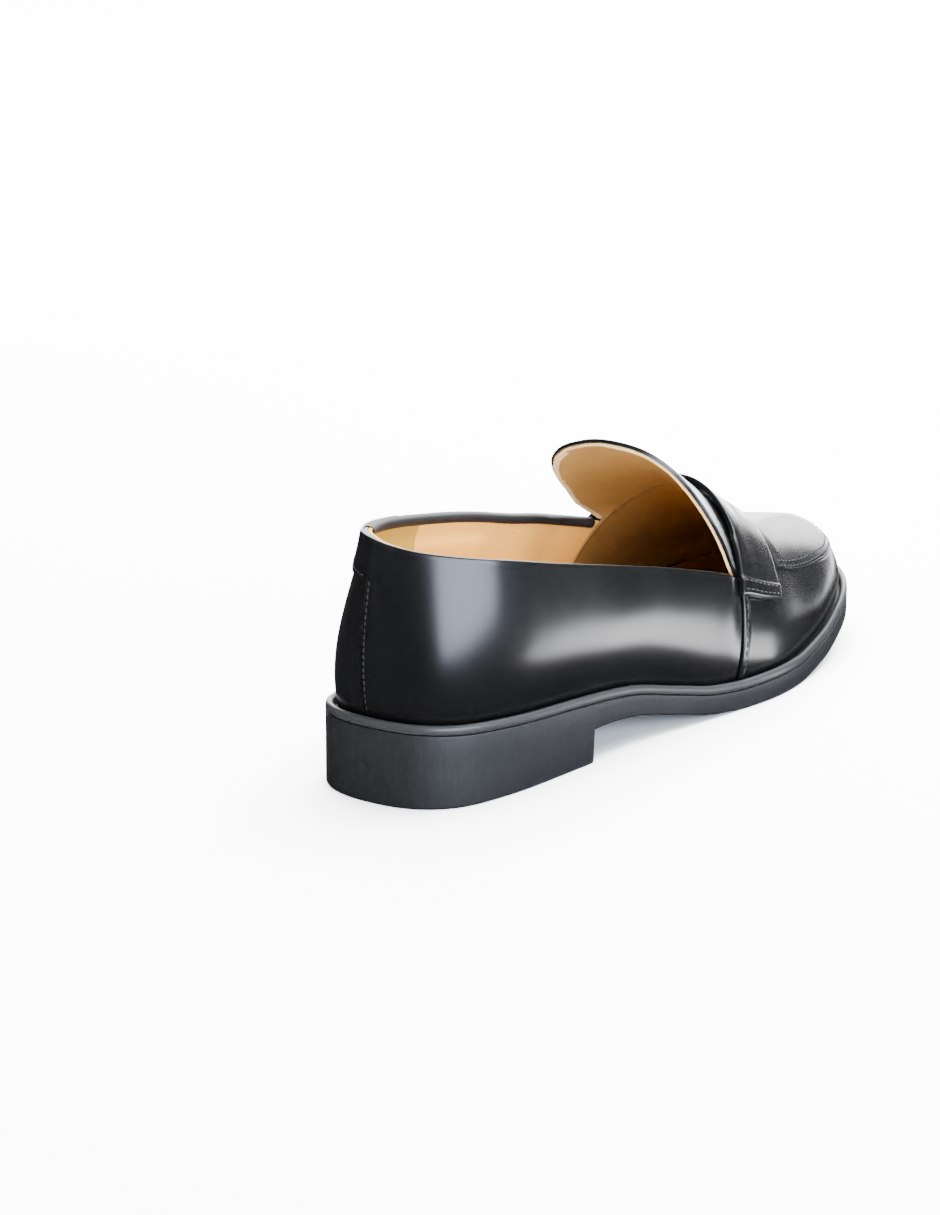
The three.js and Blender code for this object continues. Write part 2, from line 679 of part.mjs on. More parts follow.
function addBack() {
  const sides = [['outer', -1], ['inner', 1]];
  const seamed = rearReach.map((g) => THREE.MathUtils.clamp(g, 1.6 * seamGap, 1 - seamGap));
  const standingRear = standing(rearSection, rearPoint, 0.2);
  for (const [name, side] of sides) {
    // columns run forward on the outer side and back on the inner one, so that both face out
    const order = (values) => (side < 0 ? values.map((g) => -g) : [...values].reverse());
    add(`quarter_${name}`, sheet(order(seamed), upperRows, rearPoint, upperLayer), boxLeather);
    const lined = seamed.filter((g) => g >= gripReach).map((g) => Math.max(g, gripReach + 1.5 * seamGap));
    add(`quarter_lining_${name}`, sheet(order(lined), standingRows, standingRear, quarterLayer), twill);
  }
  const around = (reach) => {
    const half = rearReach.filter((g) => g <= reach);
    return [...[...half].reverse(), ...half.slice(1).map((g) => -g)];
  };
  const counterRows = standingRows.filter((t) => t <= counterTop);
  add('heel_counter', sheet(around(counterReach), counterRows, standingRear, stiffenerLayer), stiffBoard);
  add('heel_grip', sheet(around(gripReach), standingRows, standingRear, quarterLayer), suede);
  const tabPoint = (g, share) => rearPoint(g, lerp(tabLow(g), 1, share));
  const tabColumns = steps(heelTabReach, 2 * seamGap, 12);
  const tabLayer = () => [gap + heelTabThickness, gap];
  add('heel_tab', sheet(tabColumns, steps(0, 1, 4), tabPoint, tabLayer), boxLeather);
}

function addThreads() {
  const seat = gap / 2 + threadRadius;
  const onFront = (f, t, height = seat) => above(frontPoint, f, t, height, 1);
  const onRear = (g, t, height = seat) => above(rearPoint, g, t, height, -1);
  const apronRun = steps(-strapFront + 0.012, strapFront - 0.012, 44);
  for (const [name, rise] of [['lower', 0.018], ['upper', 0.042]]) {
    const run = apronRun.map((f) => onFront(f, apronShare(Math.abs(f)) + rise));
    add(`apron_thread_${name}`, thread(run), cotton);
  }
  const seamRun = steps(0.09, strapEndShare - 0.03, 10);
  const barTop = strapThickness + strapBar + strapRearLift + seat;
  const barRun = steps(strapFrontEnd + 0.012, strapRearEnd - 0.012, 6);
  for (const [name, side] of [['outer', -1], ['inner', 1]]) {
    add(`side_seam_thread_${name}`, thread(seamRun.map((t) => onFront(side * 0.985, t))), cotton);
    const there = barRun.map((f) => onFront(side * f, strapEndShare + 0.012, barTop));
    const back = [...barRun].reverse().map((f) => onFront(side * f, strapEndShare + 0.035, barTop));
    add(`strap_end_thread_${name}`, thread([...there, ...back]), cotton);
  }
  const backRun = steps(0.09, heelTabLow - 0.03, 12);
  add('back_seam_thread', thread(backRun.map((t) => onRear(-0.012, t))), cotton);
  const tabTop = gap + heelTabThickness + seat;
  const tabRun = steps(heelTabReach * 0.06, heelTabReach * 0.8, 14);
  add('heel_tab_thread', thread(tabRun.map((g) => onRear(g, tabLow(g) + 0.035, tabTop))), cotton);
}

addSole();
addBottomStack();
addForepart();
addTongue();
addStrap();
addBack();
addThreads();

// The shoe stands on the floor with its origin under the middle of its box
const box = new THREE.Box3().setFromObject(model);
const centre = box.getCenter(vector(0, 0, 0));
model.position.set(-centre.x, -centre.y, -box.min.z);

export default model;
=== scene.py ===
import math

import bpy
import numpy as np
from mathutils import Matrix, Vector


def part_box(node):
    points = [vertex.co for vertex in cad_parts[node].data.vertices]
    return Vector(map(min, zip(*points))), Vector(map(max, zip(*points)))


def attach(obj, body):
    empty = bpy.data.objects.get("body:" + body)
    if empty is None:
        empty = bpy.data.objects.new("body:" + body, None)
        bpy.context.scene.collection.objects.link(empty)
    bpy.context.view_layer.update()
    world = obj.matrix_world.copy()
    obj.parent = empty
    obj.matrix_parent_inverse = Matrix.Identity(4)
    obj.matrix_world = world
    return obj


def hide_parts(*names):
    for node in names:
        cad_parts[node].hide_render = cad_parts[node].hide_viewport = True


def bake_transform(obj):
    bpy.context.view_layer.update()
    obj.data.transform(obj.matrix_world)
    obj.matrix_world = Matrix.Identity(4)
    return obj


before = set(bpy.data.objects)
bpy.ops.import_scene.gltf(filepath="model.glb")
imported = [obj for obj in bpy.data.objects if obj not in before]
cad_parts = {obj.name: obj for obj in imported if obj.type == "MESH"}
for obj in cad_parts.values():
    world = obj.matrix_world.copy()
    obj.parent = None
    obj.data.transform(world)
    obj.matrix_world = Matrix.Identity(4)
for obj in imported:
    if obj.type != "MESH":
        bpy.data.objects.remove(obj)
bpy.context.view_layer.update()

# The leather follows the same foot form as the solids, in millimetres:
# X to the toe, Y to the inner side, Z up, and the back of the heel at 0

outlinePoints = [
    (0, 0), (3, -15.4), (12, -25.5), (32, -31.7), (70, -35.1), (105, -37.1), (140, -42.7), (170, -46.6),
    (195, -44.1), (218, -39.5), (240, -30.6), (256, -19.4), (266, -7), (268, 2), (265.5, 11), (257, 22),
    (242, 33), (222, 42), (198, 46), (170, 43), (140, 35), (105, 28.5), (70, 31), (32, 31.7), (12, 27),
    (3, 16.6),
]
grooveHeights = [
    (0, 25.1), (40, 22.4), (74, 20.3), (95, 18), (120, 12.2), (140, 7.9), (155, 6.8), (185, 6.8),
    (205, 9.5), (225, 13.9), (245, 16.4), (268, 17.3),
]
ridgeHeights = [
    (120, 97), (150, 82), (176, 68), (185, 62), (200, 53.8), (215, 47.5), (230, 42.9), (249, 38.6), (259, 36),
]
ridgeStations = [(-0.2, 247), (0, 250), (0.2, 247), (0.44, 232), (0.66, 215), (0.82, 200), (1, 176)]
apronEdge = [(-0.2, 0.43), (0, 0.62), (0.2, 0.43), (0.34, 0.435), (0.5, 0.475), (0.74, 0.505), (1, 0.54)]
toplineOuter = [
    (153, -38, 46), (144, -37, 49.3), (131, -36, 53), (113, -34.5, 58), (93, -33.3, 63), (73, -32.5, 68),
    (56, -31, 72.2), (40, -28.6, 76.3), (27, -24.5, 79.2), (18.5, -17.5, 80.9), (12.8, -10, 82.2),
    (9.6, -3, 83.6),
]
toplineBack = (8.2, 4, 85.4)
toplineInner = [
    (12, 11, 86), (21.5, 17, 85), (32, 21, 83.3), (45, 23, 81.3), (58, 24.5, 78.8), (79, 26, 74.6),
    (96, 27, 70.6), (115, 28.2, 65.5), (134, 29.3, 61), (150, 31, 56.5),
]
tongueOuter = [
    (151, -39.4, 50.5), (147.5, -38.8, 57.5), (145.2, -36, 65), (143.4, -31.4, 72.5), (140.4, -26.7, 79.7),
    (137.4, -21.8, 85.3), (133.3, -13.4, 90.6),
]
tongueTip = (128, 0, 93)
tongueInner = [
    (127, 11, 90.2), (127.6, 15.5, 87.8), (129, 19.2, 84.5), (132, 22, 80.5), (139, 25, 74.5),
    (148, 27.5, 68), (158, 29.6, 60),
]
form = {
    "uppersInset": 4.2,
    "heelLength": 74.4,
    "soleEdge": 6.8,
    "outerSeamX": 151.2,
    "innerSeamX": 155.5,
    "backSeamY": 3.5,
    "outerNotchZ": 42.5,
    "innerNotchZ": 52.5,
}


def smooth(value, low, high):
    share = np.clip((np.asarray(value, float) - low) / (high - low), 0, 1)
    return share * share * (3 - 2 * share)


def mix(a, b, share):
    return a + (b - a) * share


# A smooth curve through pairs of values that never overshoots them
def through(pairs):
    xs = np.array([p[0] for p in pairs], float)
    ys = np.array([p[1] for p in pairs], float)
    rise = np.diff(ys) / np.diff(xs)
    before = np.concatenate([rise[:1], rise])
    after = np.concatenate([rise, rise[-1:]])
    total = np.where(np.abs(before + after) < 1e-12, 1, before + after)
    slope = np.where(before * after > 0, 2 * before * after / total, 0)

    def at(x):
        x = np.asarray(x, float)
        i = np.clip(np.searchsorted(xs, x, side="right"), 1, len(xs) - 1)
        w = xs[i] - xs[i - 1]
        t = np.clip((x - xs[i - 1]) / w, 0, 1)
        h = t * t * (3 - 2 * t)
        lead = t * (1 - t) ** 2 * slope[i - 1]
        trail = t * t * (1 - t) * slope[i]
        return mix(ys[i - 1], ys[i], h) + w * (lead - trail)

    return at


grooveZ = through(grooveHeights)
ridgeZ = through(ridgeHeights)
ridgeX = through(ridgeStations)
apronShare = through(apronEdge)
lowBelly = through([(0, 6.8), (0.3, 9), (0.75, 9)])
highBelly = through([(0, 2.2), (0.25, 3), (0.7, 5.3)])


def featherZ(x):
    return grooveZ(x) + 0.4


spanPoints = 240


# A rounded line through points, with spanPoints steps from each to the next
def curvePoints(points, closed):
    pts = np.array(points, float)
    n = len(pts)
    spans = n if closed else n - 1
    before, after = 2 * pts[0] - pts[1], 2 * pts[-1] - pts[-2]

    def at(i):
        if closed:
            return pts[i % n]
        return before if i < 0 else after if i >= n else pts[i]

    t = np.linspace(0, 1, spanPoints, endpoint=False)[:, None]
    runs = []
    for i in range(spans):
        p0, p1, p2, p3 = at(i - 1), at(i), at(i + 1), at(i + 2)
        d0, d1, d2 = [max(np.linalg.norm(b - a), 1e-9) ** 0.5 for a, b in ((p0, p1), (p1, p2), (p2, p3))]
        t1 = ((p1 - p0) / d0 - (p2 - p0) / (d0 + d1) + (p2 - p1) / d1) * d1
        t2 = ((p2 - p1) / d1 - (p3 - p1) / (d1 + d2) + (p3 - p2) / d2) * d1
        c2 = -3 * p1 + 3 * p2 - 2 * t1 - t2
        c3 = 2 * p1 - 2 * p2 + t1 + t2
        runs.append(p1 + t1 * t + c2 * t * t + c3 * t ** 3)
    return np.vstack([*runs, at(spans)[None, :]])


def lengthsOf(points):
    return np.concatenate([[0], np.cumsum(np.linalg.norm(np.diff(points, axis=0), axis=1))])


def lookUp(places, values, at):
    return np.stack([np.interp(at, places, values[:, k]) for k in range(values.shape[1])], -1)


outlineLine = curvePoints([(x, y, 0) for x, y in outlinePoints], True)
outlinePlaces = lengthsOf(outlineLine)
outlineLength = outlinePlaces[-1]
outlinePlaces = outlinePlaces / outlineLength
outlineAlong = np.gradient(outlineLine, axis=0)
outlineAlong[0] = outlineAlong[-1] = outlineLine[1] - outlineLine[-2]
toeShare = float(outlinePlaces[np.argmax(outlineLine[:, 0])])


# Points of the sole outline at shares of its length, and the way out of it there
def outlineAt(share, inset=0):
    u = np.mod(np.asarray(share, float), 1)
    point = lookUp(outlinePlaces, outlineLine, u)
    along = lookUp(outlinePlaces, outlineAlong, u)
    out = np.stack([along[..., 1], -along[..., 0], 0 * u], -1)
    out /= np.linalg.norm(out, axis=-1, keepdims=True)
    return point - out * np.asarray(inset, float)[..., None], out


def shareAt(x, side, inset=0):
    x = np.asarray(x, float)
    heel = np.full(x.shape, 0.0 if side < 0 else 1.0)
    toe = np.full(x.shape, toeShare)
    for _ in range(40):
        middle = (heel + toe) / 2
        short = outlineAt(middle, inset)[0][..., 0] < x
        heel = np.where(short, middle, heel)
        toe = np.where(short, toe, middle)
    return heel


seamShare = {-1: float(shareAt(form["outerSeamX"], -1)), 1: float(shareAt(form["innerSeamX"], 1))}
backShare = -form["backSeamY"] / outlineLength


def frontShare(f):
    f = np.asarray(f, float)
    return np.where(f < 0, mix(toeShare, seamShare[-1], np.abs(f)), mix(toeShare, seamShare[1], np.abs(f)))


def rearShare(g):
    g = np.asarray(g, float)
    return np.where(g < 0, mix(backShare, seamShare[-1], -g), mix(1 + backShare, seamShare[1], g))


def footPoint(share):
    foot, out = outlineAt(share, form["uppersInset"])
    foot[..., 2] = featherZ(foot[..., 0])
    return foot, out


def bezier(handles, t):
    t = np.asarray(t, float)[..., None]
    a, b, c, d = [handles[..., k, :] for k in range(4)]
    if t.ndim > a.ndim:
        a, b, c, d = [v[..., None, :] for v in (a, b, c, d)]
    u = 1 - t
    return a * u ** 3 + 3 * b * u * u * t + 3 * c * u * t * t + d * t ** 3


# Handles of the rising sections: foot, low, shoulder and top for each station
def frontHandles(f):
    f = np.asarray(f, float)
    reach = np.abs(f)
    foot, out = footPoint(frontShare(f))
    x = ridgeX(reach)
    top = np.stack([x, 0 * x, ridgeZ(x)], -1)
    slope = (ridgeZ(x + 1) - ridgeZ(x - 1)) / 2
    low = foot + out * mix(4.2, 9.5, reach ** 1.5)[..., None]
    low[..., 2] += mix(0.52, 0.43, smooth(reach, 0.1, 0.6)) * (top[..., 2] - foot[..., 2])
    shoulderX = x + mix(0.5, 0.12, smooth(reach, 0.2, 0.9)) * (foot[..., 0] - x)
    shoulderY = mix(0.56, 0.62, smooth(reach, 0, 0.9)) * foot[..., 1]
    shoulder = np.stack([shoulderX, shoulderY, top[..., 2] + slope * (shoulderX - x)], -1)
    return np.stack([foot, low, shoulder, top], -2)


# How far up each section a height lies
def shareOfHeight(handles, z):
    z = np.asarray(z, float)
    low = np.zeros(handles.shape[:-2])
    high = np.ones(handles.shape[:-2])
    for _ in range(40):
        middle = (low + high) / 2
        below = bezier(handles, middle)[..., 2] < z
        low = np.where(below, middle, low)
        high = np.where(below, high, middle)
    return low


def lowerPart(handles, t):
    v0, v1, v2 = handles[0], handles[1], handles[2]
    a = mix(v0, v1, t)
    b = mix(v1, v2, t)
    return np.stack([v0, a, mix(a, b, t), bezier(handles, np.array(t))])


seamHandles = {side: frontHandles(np.array(float(side))) for side in (-1, 1)}
notchShare = {
    -1: float(shareOfHeight(seamHandles[-1], form["outerNotchZ"])),
    1: float(shareOfHeight(seamHandles[1], form["innerNotchZ"])),
}
notch = {side: bezier(seamHandles[side], np.array(notchShare[side])) for side in (-1, 1)}
seamLower = {side: lowerPart(seamHandles[side], notchShare[side]) for side in (-1, 1)}


def twoSided(outer, middle, inner):
    line = curvePoints([*outer, middle, *inner], False)
    places = lengthsOf(line)
    places = places / places[-1]
    centre = places[spanPoints * len(outer)]

    def at(side):
        side = np.asarray(side, float)
        return lookUp(places, line, np.where(side < 0, mix(centre, 0, -side), mix(centre, 1, side)))

    return at


toplineAt = twoSided([notch[-1], *toplineOuter], toplineBack, [*toplineInner, notch[1]])
tongueEdgeAt = twoSided([notch[-1], *tongueOuter], tongueTip, [*tongueInner, notch[1]])


# Handles of the rear sections, from the outer side seam at -1 past the back seam at 0 to the inner one at 1
def rearHandles(g):
    g = np.asarray(g, float)
    reach = np.abs(g)
    foot, out = footPoint(rearShare(g))
    top = toplineAt(g)
    seam = np.where((g < 0)[..., None, None], seamLower[-1], seamLower[1])
    blend = smooth(reach, 0.55, 1)[..., None]

    def handle(third, control, belly):
        atSeam = control - mix(seam[..., 0, :], seam[..., 3, :], third)
        return mix(foot, top, third) + mix(out * belly[..., None], atSeam, blend)

    low = handle(1 / 3, seam[..., 1, :], lowBelly(reach))
    high = handle(2 / 3, seam[..., 2, :], highBelly(reach))
    return np.stack([foot, low, high, top], -2)


def frontPoint(f, t):
    return bezier(frontHandles(f), t)


def rearPoint(g, t):
    return bezier(rearHandles(g), t)


def tonguePoint(across, back):
    across = np.asarray(across, float)
    side = np.where(across < 0, -1.0, 1.0)
    notched = np.where(across < 0, notchShare[-1], notchShare[1])
    root = frontPoint(side, mix(1, notched, np.abs(across)))
    return mix(root, tongueEdgeAt(across), np.asarray(back, float)[..., None])


# The form is moved so that its sole lies on the outsole of the frame
soleLow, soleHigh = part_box("outsole")
shift = np.array([
    soleLow.x * 1000 - outlineLine[:, 0].min(),
    (soleLow.y + soleHigh.y) * 500 - (outlineLine[:, 1].min() + outlineLine[:, 1].max()) / 2,
    soleLow.z * 1000,
])


def toRow(points):
    return (np.asarray(points, float).reshape(-1, 3) + shift) / 1000


def addObject(name, data):
    thing = bpy.data.objects.new(name, data)
    bpy.context.scene.collection.objects.link(thing)
    return thing


def meshPiece(name, points, faces, material, body="shoe", sharp=50):
    mesh = bpy.data.meshes.new(name)
    mesh.from_pydata(toRow(points).tolist(), [], faces)
    mesh.polygons.foreach_set("use_smooth", [True] * len(mesh.polygons))
    mesh.set_sharp_from_angle(angle=math.radians(sharp))
    mesh.materials.append(material)
    piece = addObject(name, mesh)
    if body:
        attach(piece, body)
    return piece


# Joins grid points that coincide, then gives the faces and a normal for each point
def gridOf(grid, facing):
    rows, columns = grid.shape[:2]
    flat = grid.reshape(-1, 3)
    _, first, index = np.unique(np.round(flat, 3), axis=0, return_index=True, return_inverse=True)
    index = index.reshape(rows, columns)
    points = flat[first]
    faces = []
    for i in range(rows - 1):
        for j in range(columns - 1):
            ring = [index[i, j], index[i + 1, j], index[i + 1, j + 1], index[i, j + 1]]
            ring = [int(a) for k, a in enumerate(ring) if a != ring[k - 1]]
            if len(ring) > 2:
                faces.append(ring if facing > 0 else ring[::-1])
    normals = np.zeros_like(points)
    for ring in faces:
        a, b, c = points[ring[0]], points[ring[1]], points[ring[2]]
        d = points[ring[-1]]
        normal = np.cross(b - a, c - a) if len(ring) == 3 else np.cross(c - a, d - b)
        for corner in ring:
            normals[corner] += normal
    normals /= np.maximum(np.linalg.norm(normals, axis=1, keepdims=True), 1e-9)
    return points, faces, normals, index, first


# A sheet of leather or cloth: its skins lie at heights top and bottom over the form
def sheetPiece(name, grid, top, bottom, material, facing=1, body="shoe", skip=None):
    points, faces, normals, index, first = gridOf(grid, facing)
    if skip is not None:
        gone = {frozenset(index[i:i + 2, j:j + 2].reshape(-1).tolist()) for i, j in np.argwhere(skip)}
        faces = [ring for ring in faces if frozenset(ring) not in gone]
    high = np.broadcast_to(top, grid.shape[:2]).reshape(-1)[first]
    low = np.broadcast_to(bottom, grid.shape[:2]).reshape(-1)[first]
    outer = points + normals * high[:, None]
    inner = points + normals * low[:, None]
    count = len(points)
    edges = set()
    for ring in faces:
        for k, a in enumerate(ring):
            edges.add((ring[k - 1], a))
    allFaces = list(faces)
    for ring in faces:
        allFaces.append([count + a for a in reversed(ring)])
    for a, b in edges:
        if (b, a) not in edges:
            allFaces.append([b, a, count + a, count + b])
    return meshPiece(name, np.vstack([outer, inner]), allFaces, material, body)


# Places along a length that crowd at its ends, so edges can be rolled over
rollSteps = np.array([0, 0.06, 0.16, 0.32, 0.55, 0.85])


def crowded(length, count, radius=0.8, low=True, high=True):
    near = rollSteps * radius / 0.85
    start = near if low else np.array([0.0])
    end = length - near[::-1] if high else np.array([length])
    middle = np.linspace(start[-1], end[0], count)
    return np.concatenate([start[:-1], middle, end[1:]])


def rolled(distance, radius=0.8):
    d = np.clip(radius - np.asarray(distance, float), 0, radius)
    return radius - np.sqrt(np.maximum(radius ** 2 - d ** 2, 0))


# Shares along each column where the surface has the wanted distances in millimetres
def byLength(pointAt, stations, lows, highs, count, radius=0.8, low=True, high=True, extra=()):
    fine = np.linspace(0, 1, 160)
    shares = mix(np.asarray(lows)[:, None], np.asarray(highs)[:, None], fine)
    line = pointAt(stations, shares)
    steps = np.linalg.norm(np.diff(line, axis=1), axis=2)
    along = np.concatenate([np.zeros((len(stations), 1)), np.cumsum(steps, axis=1)], axis=1)
    grid, fromLow, fromHigh = [], [], []
    for k in range(len(stations)):
        length = along[k, -1]
        places = crowded(length, count, radius, low, high)
        if len(extra):
            more = np.array([length - e for e in extra])
            places = np.sort(np.concatenate([places, np.clip(more, places[1], places[-2])]))
        grid.append(np.interp(places, along[k], shares[k]))
        fromLow.append(places)
        fromHigh.append(length - places)
    return np.array(grid), np.array(fromLow), np.array(fromHigh)


# Column stations with crowded ends, from millimetres measured at mid height
def columnsOf(pointAt, start, end, count, radius=0.8, first=True, last=True, height=0.4):
    fine = np.linspace(start, end, 400)
    line = pointAt(fine, np.full(400, height))
    along = lengthsOf(line)
    places = crowded(along[-1], count, radius, first, last)
    return np.interp(places, along, fine), places, along[-1] - places


# A row of single stitches along a line
def stitchRow(name, line, normals, material, stitch, body="shoe"):
    line = np.asarray(line, float)
    normals = np.asarray(normals, float)
    places = lengthsOf(line)
    along = np.gradient(line, axis=0)
    along /= np.linalg.norm(along, axis=1, keepdims=True)
    count = max(int(places[-1] // stitch["pitch"]), 1)
    pitch = places[-1] / count
    rings, sides = 9, 8
    points, faces = [], []
    for i in range(count):
        centre = (i + 0.5) * pitch
        base = len(points)
        for k in range(rings):
            u = -1 + 2 * k / (rings - 1)
            s = centre + u * stitch["length"] / 2
            p = lookUp(places, line, np.array([s]))[0]
            n = lookUp(places, normals, np.array([s]))[0]
            a = lookUp(places, along, np.array([s]))[0]
            b = np.cross(n, a)
            swell = max(1 - abs(u) ** 3, 0.02) ** 0.5
            lift = stitch["lift"] - 0.45 * stitch["radius"] * u * u
            for j in range(sides):
                angle = 2 * math.pi * j / sides
                r = stitch["radius"] * swell
                up = lift + r * math.sin(angle)
                points.append(p + n * up + b * (stitch["width"] * r * math.cos(angle)))
        for k in range(rings - 1):
            this, following = base + k * sides, base + (k + 1) * sides
            for j in range(sides):
                q = (j + 1) % sides
                faces.append([this + j, this + q, following + q, following + j])
        faces.append([base + j for j in reversed(range(sides))])
        faces.append([base + (rings - 1) * sides + j for j in range(sides)])
    return meshPiece(name, points, faces, material, body, 80)


def surfaceNormals(pointAt, a, b, outward):
    d = 0.004
    a, b = np.asarray(a, float), np.asarray(b, float)
    alongA = pointAt(a + d, b) - pointAt(a - d, b)
    alongB = pointAt(a, b + d) - pointAt(a, b - d)
    normal = np.cross(alongA, alongB) * outward
    return normal / np.linalg.norm(normal, axis=-1, keepdims=True)


def newMaterial(name, color, roughness):
    material = bpy.data.materials.new(name)
    material.use_nodes = True
    nodes = material.node_tree.nodes
    shader = nodes["Principled BSDF"]
    shader.inputs["Base Color"].default_value = (*color, 1)
    shader.inputs["Roughness"].default_value = roughness
    material.diffuse_color = (*color, 1)
    return material, nodes, material.node_tree.links, shader


def placeNode(nodes, links, stretch=(1, 1, 1)):
    place = nodes.new("ShaderNodeTexCoord")
    mapping = nodes.new("ShaderNodeMapping")
    mapping.inputs["Scale"].default_value = stretch
    links.new(place.outputs["Object"], mapping.inputs["Vector"])
    return mapping.outputs["Vector"]


def noiseNode(nodes, links, where, scale, detail=2.0, rough=0.5):
    noise = nodes.new("ShaderNodeTexNoise")
    noise.inputs["Scale"].default_value = scale
    noise.inputs["Detail"].default_value = detail
    noise.inputs["Roughness"].default_value = rough
    links.new(where, noise.inputs["Vector"])
    return noise.outputs["Fac"]


def rangeNode(nodes, links, value, low, high, start=0.3, end=0.7):
    span = nodes.new("ShaderNodeMapRange")
    span.inputs["From Min"].default_value = start
    span.inputs["From Max"].default_value = end
    span.inputs["To Min"].default_value = low
    span.inputs["To Max"].default_value = high
    links.new(value, span.inputs["Value"])
    return span.outputs["Result"]


def mixNode(nodes, links, share, first, second):
    blend = nodes.new("ShaderNodeMix")
    blend.data_type = "RGBA"
    blend.inputs["A"].default_value = (*first, 1)
    blend.inputs["B"].default_value = (*second, 1)
    links.new(share, blend.inputs["Factor"])
    return blend.outputs["Result"]


def bumpNode(nodes, links, height, strength, distance, before=None):
    bump = nodes.new("ShaderNodeBump")
    bump.inputs["Strength"].default_value = strength
    bump.inputs["Distance"].default_value = distance
    links.new(height, bump.inputs["Height"])
    if before is not None:
        links.new(before, bump.inputs["Normal"])
    return bump.outputs["Normal"]


leather = {
    "color": (0.0012, 0.0013, 0.0015),
    "worn": (0.0022, 0.0023, 0.0026),
    "roughLow": 0.2,
    "roughHigh": 0.3,
    "sheen": 0.55,
    "pores": 0.014,
    "waves": 0.22,
}


def boxLeather():
    material, nodes, links, shader = newMaterial("boxLeather", leather["color"], leather["roughLow"])
    where = placeNode(nodes, links)
    cloudy = noiseNode(nodes, links, where, 26, 1)
    polish = rangeNode(nodes, links, cloudy, leather["roughLow"], leather["roughHigh"], 0, 1)
    links.new(mixNode(nodes, links, cloudy, leather["color"], leather["worn"]), shader.inputs["Base Color"])
    links.new(polish, shader.inputs["Roughness"])
    waves = bumpNode(nodes, links, noiseNode(nodes, links, where, 30, 0), leather["waves"], 0.0006)
    grain = bumpNode(nodes, links, noiseNode(nodes, links, where, 1100, 1), leather["pores"], 0.00005, waves)
    links.new(grain, shader.inputs["Normal"])
    shader.inputs["Specular IOR Level"].default_value = leather["sheen"]
    return material


sole = {
    "color": (0.0034, 0.0037, 0.0041),
    "dusty": (0.0068, 0.0073, 0.0081),
    "roughness": 0.5,
    "streaks": 0.35,
}


def soleRubber():
    material, nodes, links, shader = newMaterial("soleRubber", sole["color"], sole["roughness"])
    upright = placeNode(nodes, links, (1, 1, 0.06))
    plain = placeNode(nodes, links)
    streaks = noiseNode(nodes, links, upright, 1500, 3)
    specks = noiseNode(nodes, links, plain, 2200, 4)
    links.new(mixNode(nodes, links, streaks, sole["color"], sole["dusty"]), shader.inputs["Base Color"])
    dull = rangeNode(nodes, links, specks, sole["roughness"] - 0.06, sole["roughness"] + 0.1)
    links.new(dull, shader.inputs["Roughness"])
    lines = bumpNode(nodes, links, streaks, sole["streaks"], 0.00012)
    links.new(bumpNode(nodes, links, specks, 0.2, 0.00006, lines), shader.inputs["Normal"])
    return material


bead = {"color": (0.012, 0.0127, 0.0135), "roughness": 0.36}


def beadRubber():
    material, nodes, links, shader = newMaterial("beadRubber", bead["color"], bead["roughness"])
    where = placeNode(nodes, links)
    specks = noiseNode(nodes, links, where, 1600, 4)
    dull = rangeNode(nodes, links, specks, bead["roughness"] - 0.05, bead["roughness"] + 0.08)
    links.new(dull, shader.inputs["Roughness"])
    links.new(bumpNode(nodes, links, specks, 0.18, 0.00008), shader.inputs["Normal"])
    return material


cloth = {"color": (0.84, 0.42, 0.07), "shade": (0.76, 0.36, 0.052), "ribPitch": 0.00075, "rib": 0.5}


def twillCloth():
    material, nodes, links, shader = newMaterial("twillCloth", cloth["color"], 0.85)
    where = placeNode(nodes, links)
    ribs = nodes.new("ShaderNodeTexWave")
    ribs.wave_type = "BANDS"
    ribs.bands_direction = "Z"
    ribs.inputs["Scale"].default_value = 2 * math.pi / (20 * cloth["ribPitch"])
    ribs.inputs["Distortion"].default_value = 1.2
    ribs.inputs["Detail"].default_value = 2
    ribs.inputs["Detail Scale"].default_value = 3
    links.new(where, ribs.inputs["Vector"])
    threads = noiseNode(nodes, links, placeNode(nodes, links, (1, 1, 0.4)), 1800, 3)
    soft = noiseNode(nodes, links, where, 60, 3)
    tint = mixNode(nodes, links, soft, cloth["color"], cloth["shade"])
    shadow = nodes.new("ShaderNodeMix")
    shadow.data_type = "RGBA"
    shadow.blend_type = "MULTIPLY"
    shadow.inputs["B"].default_value = (0.86, 0.8, 0.72, 1)
    links.new(rangeNode(nodes, links, ribs.outputs["Fac"], 0.8, 0, 0, 0.6), shadow.inputs["Factor"])
    links.new(tint, shadow.inputs["A"])
    links.new(shadow.outputs["Result"], shader.inputs["Base Color"])
    lines = bumpNode(nodes, links, ribs.outputs["Fac"], cloth["rib"], 0.00012)
    links.new(bumpNode(nodes, links, threads, 0.3, 0.0001, lines), shader.inputs["Normal"])
    return material


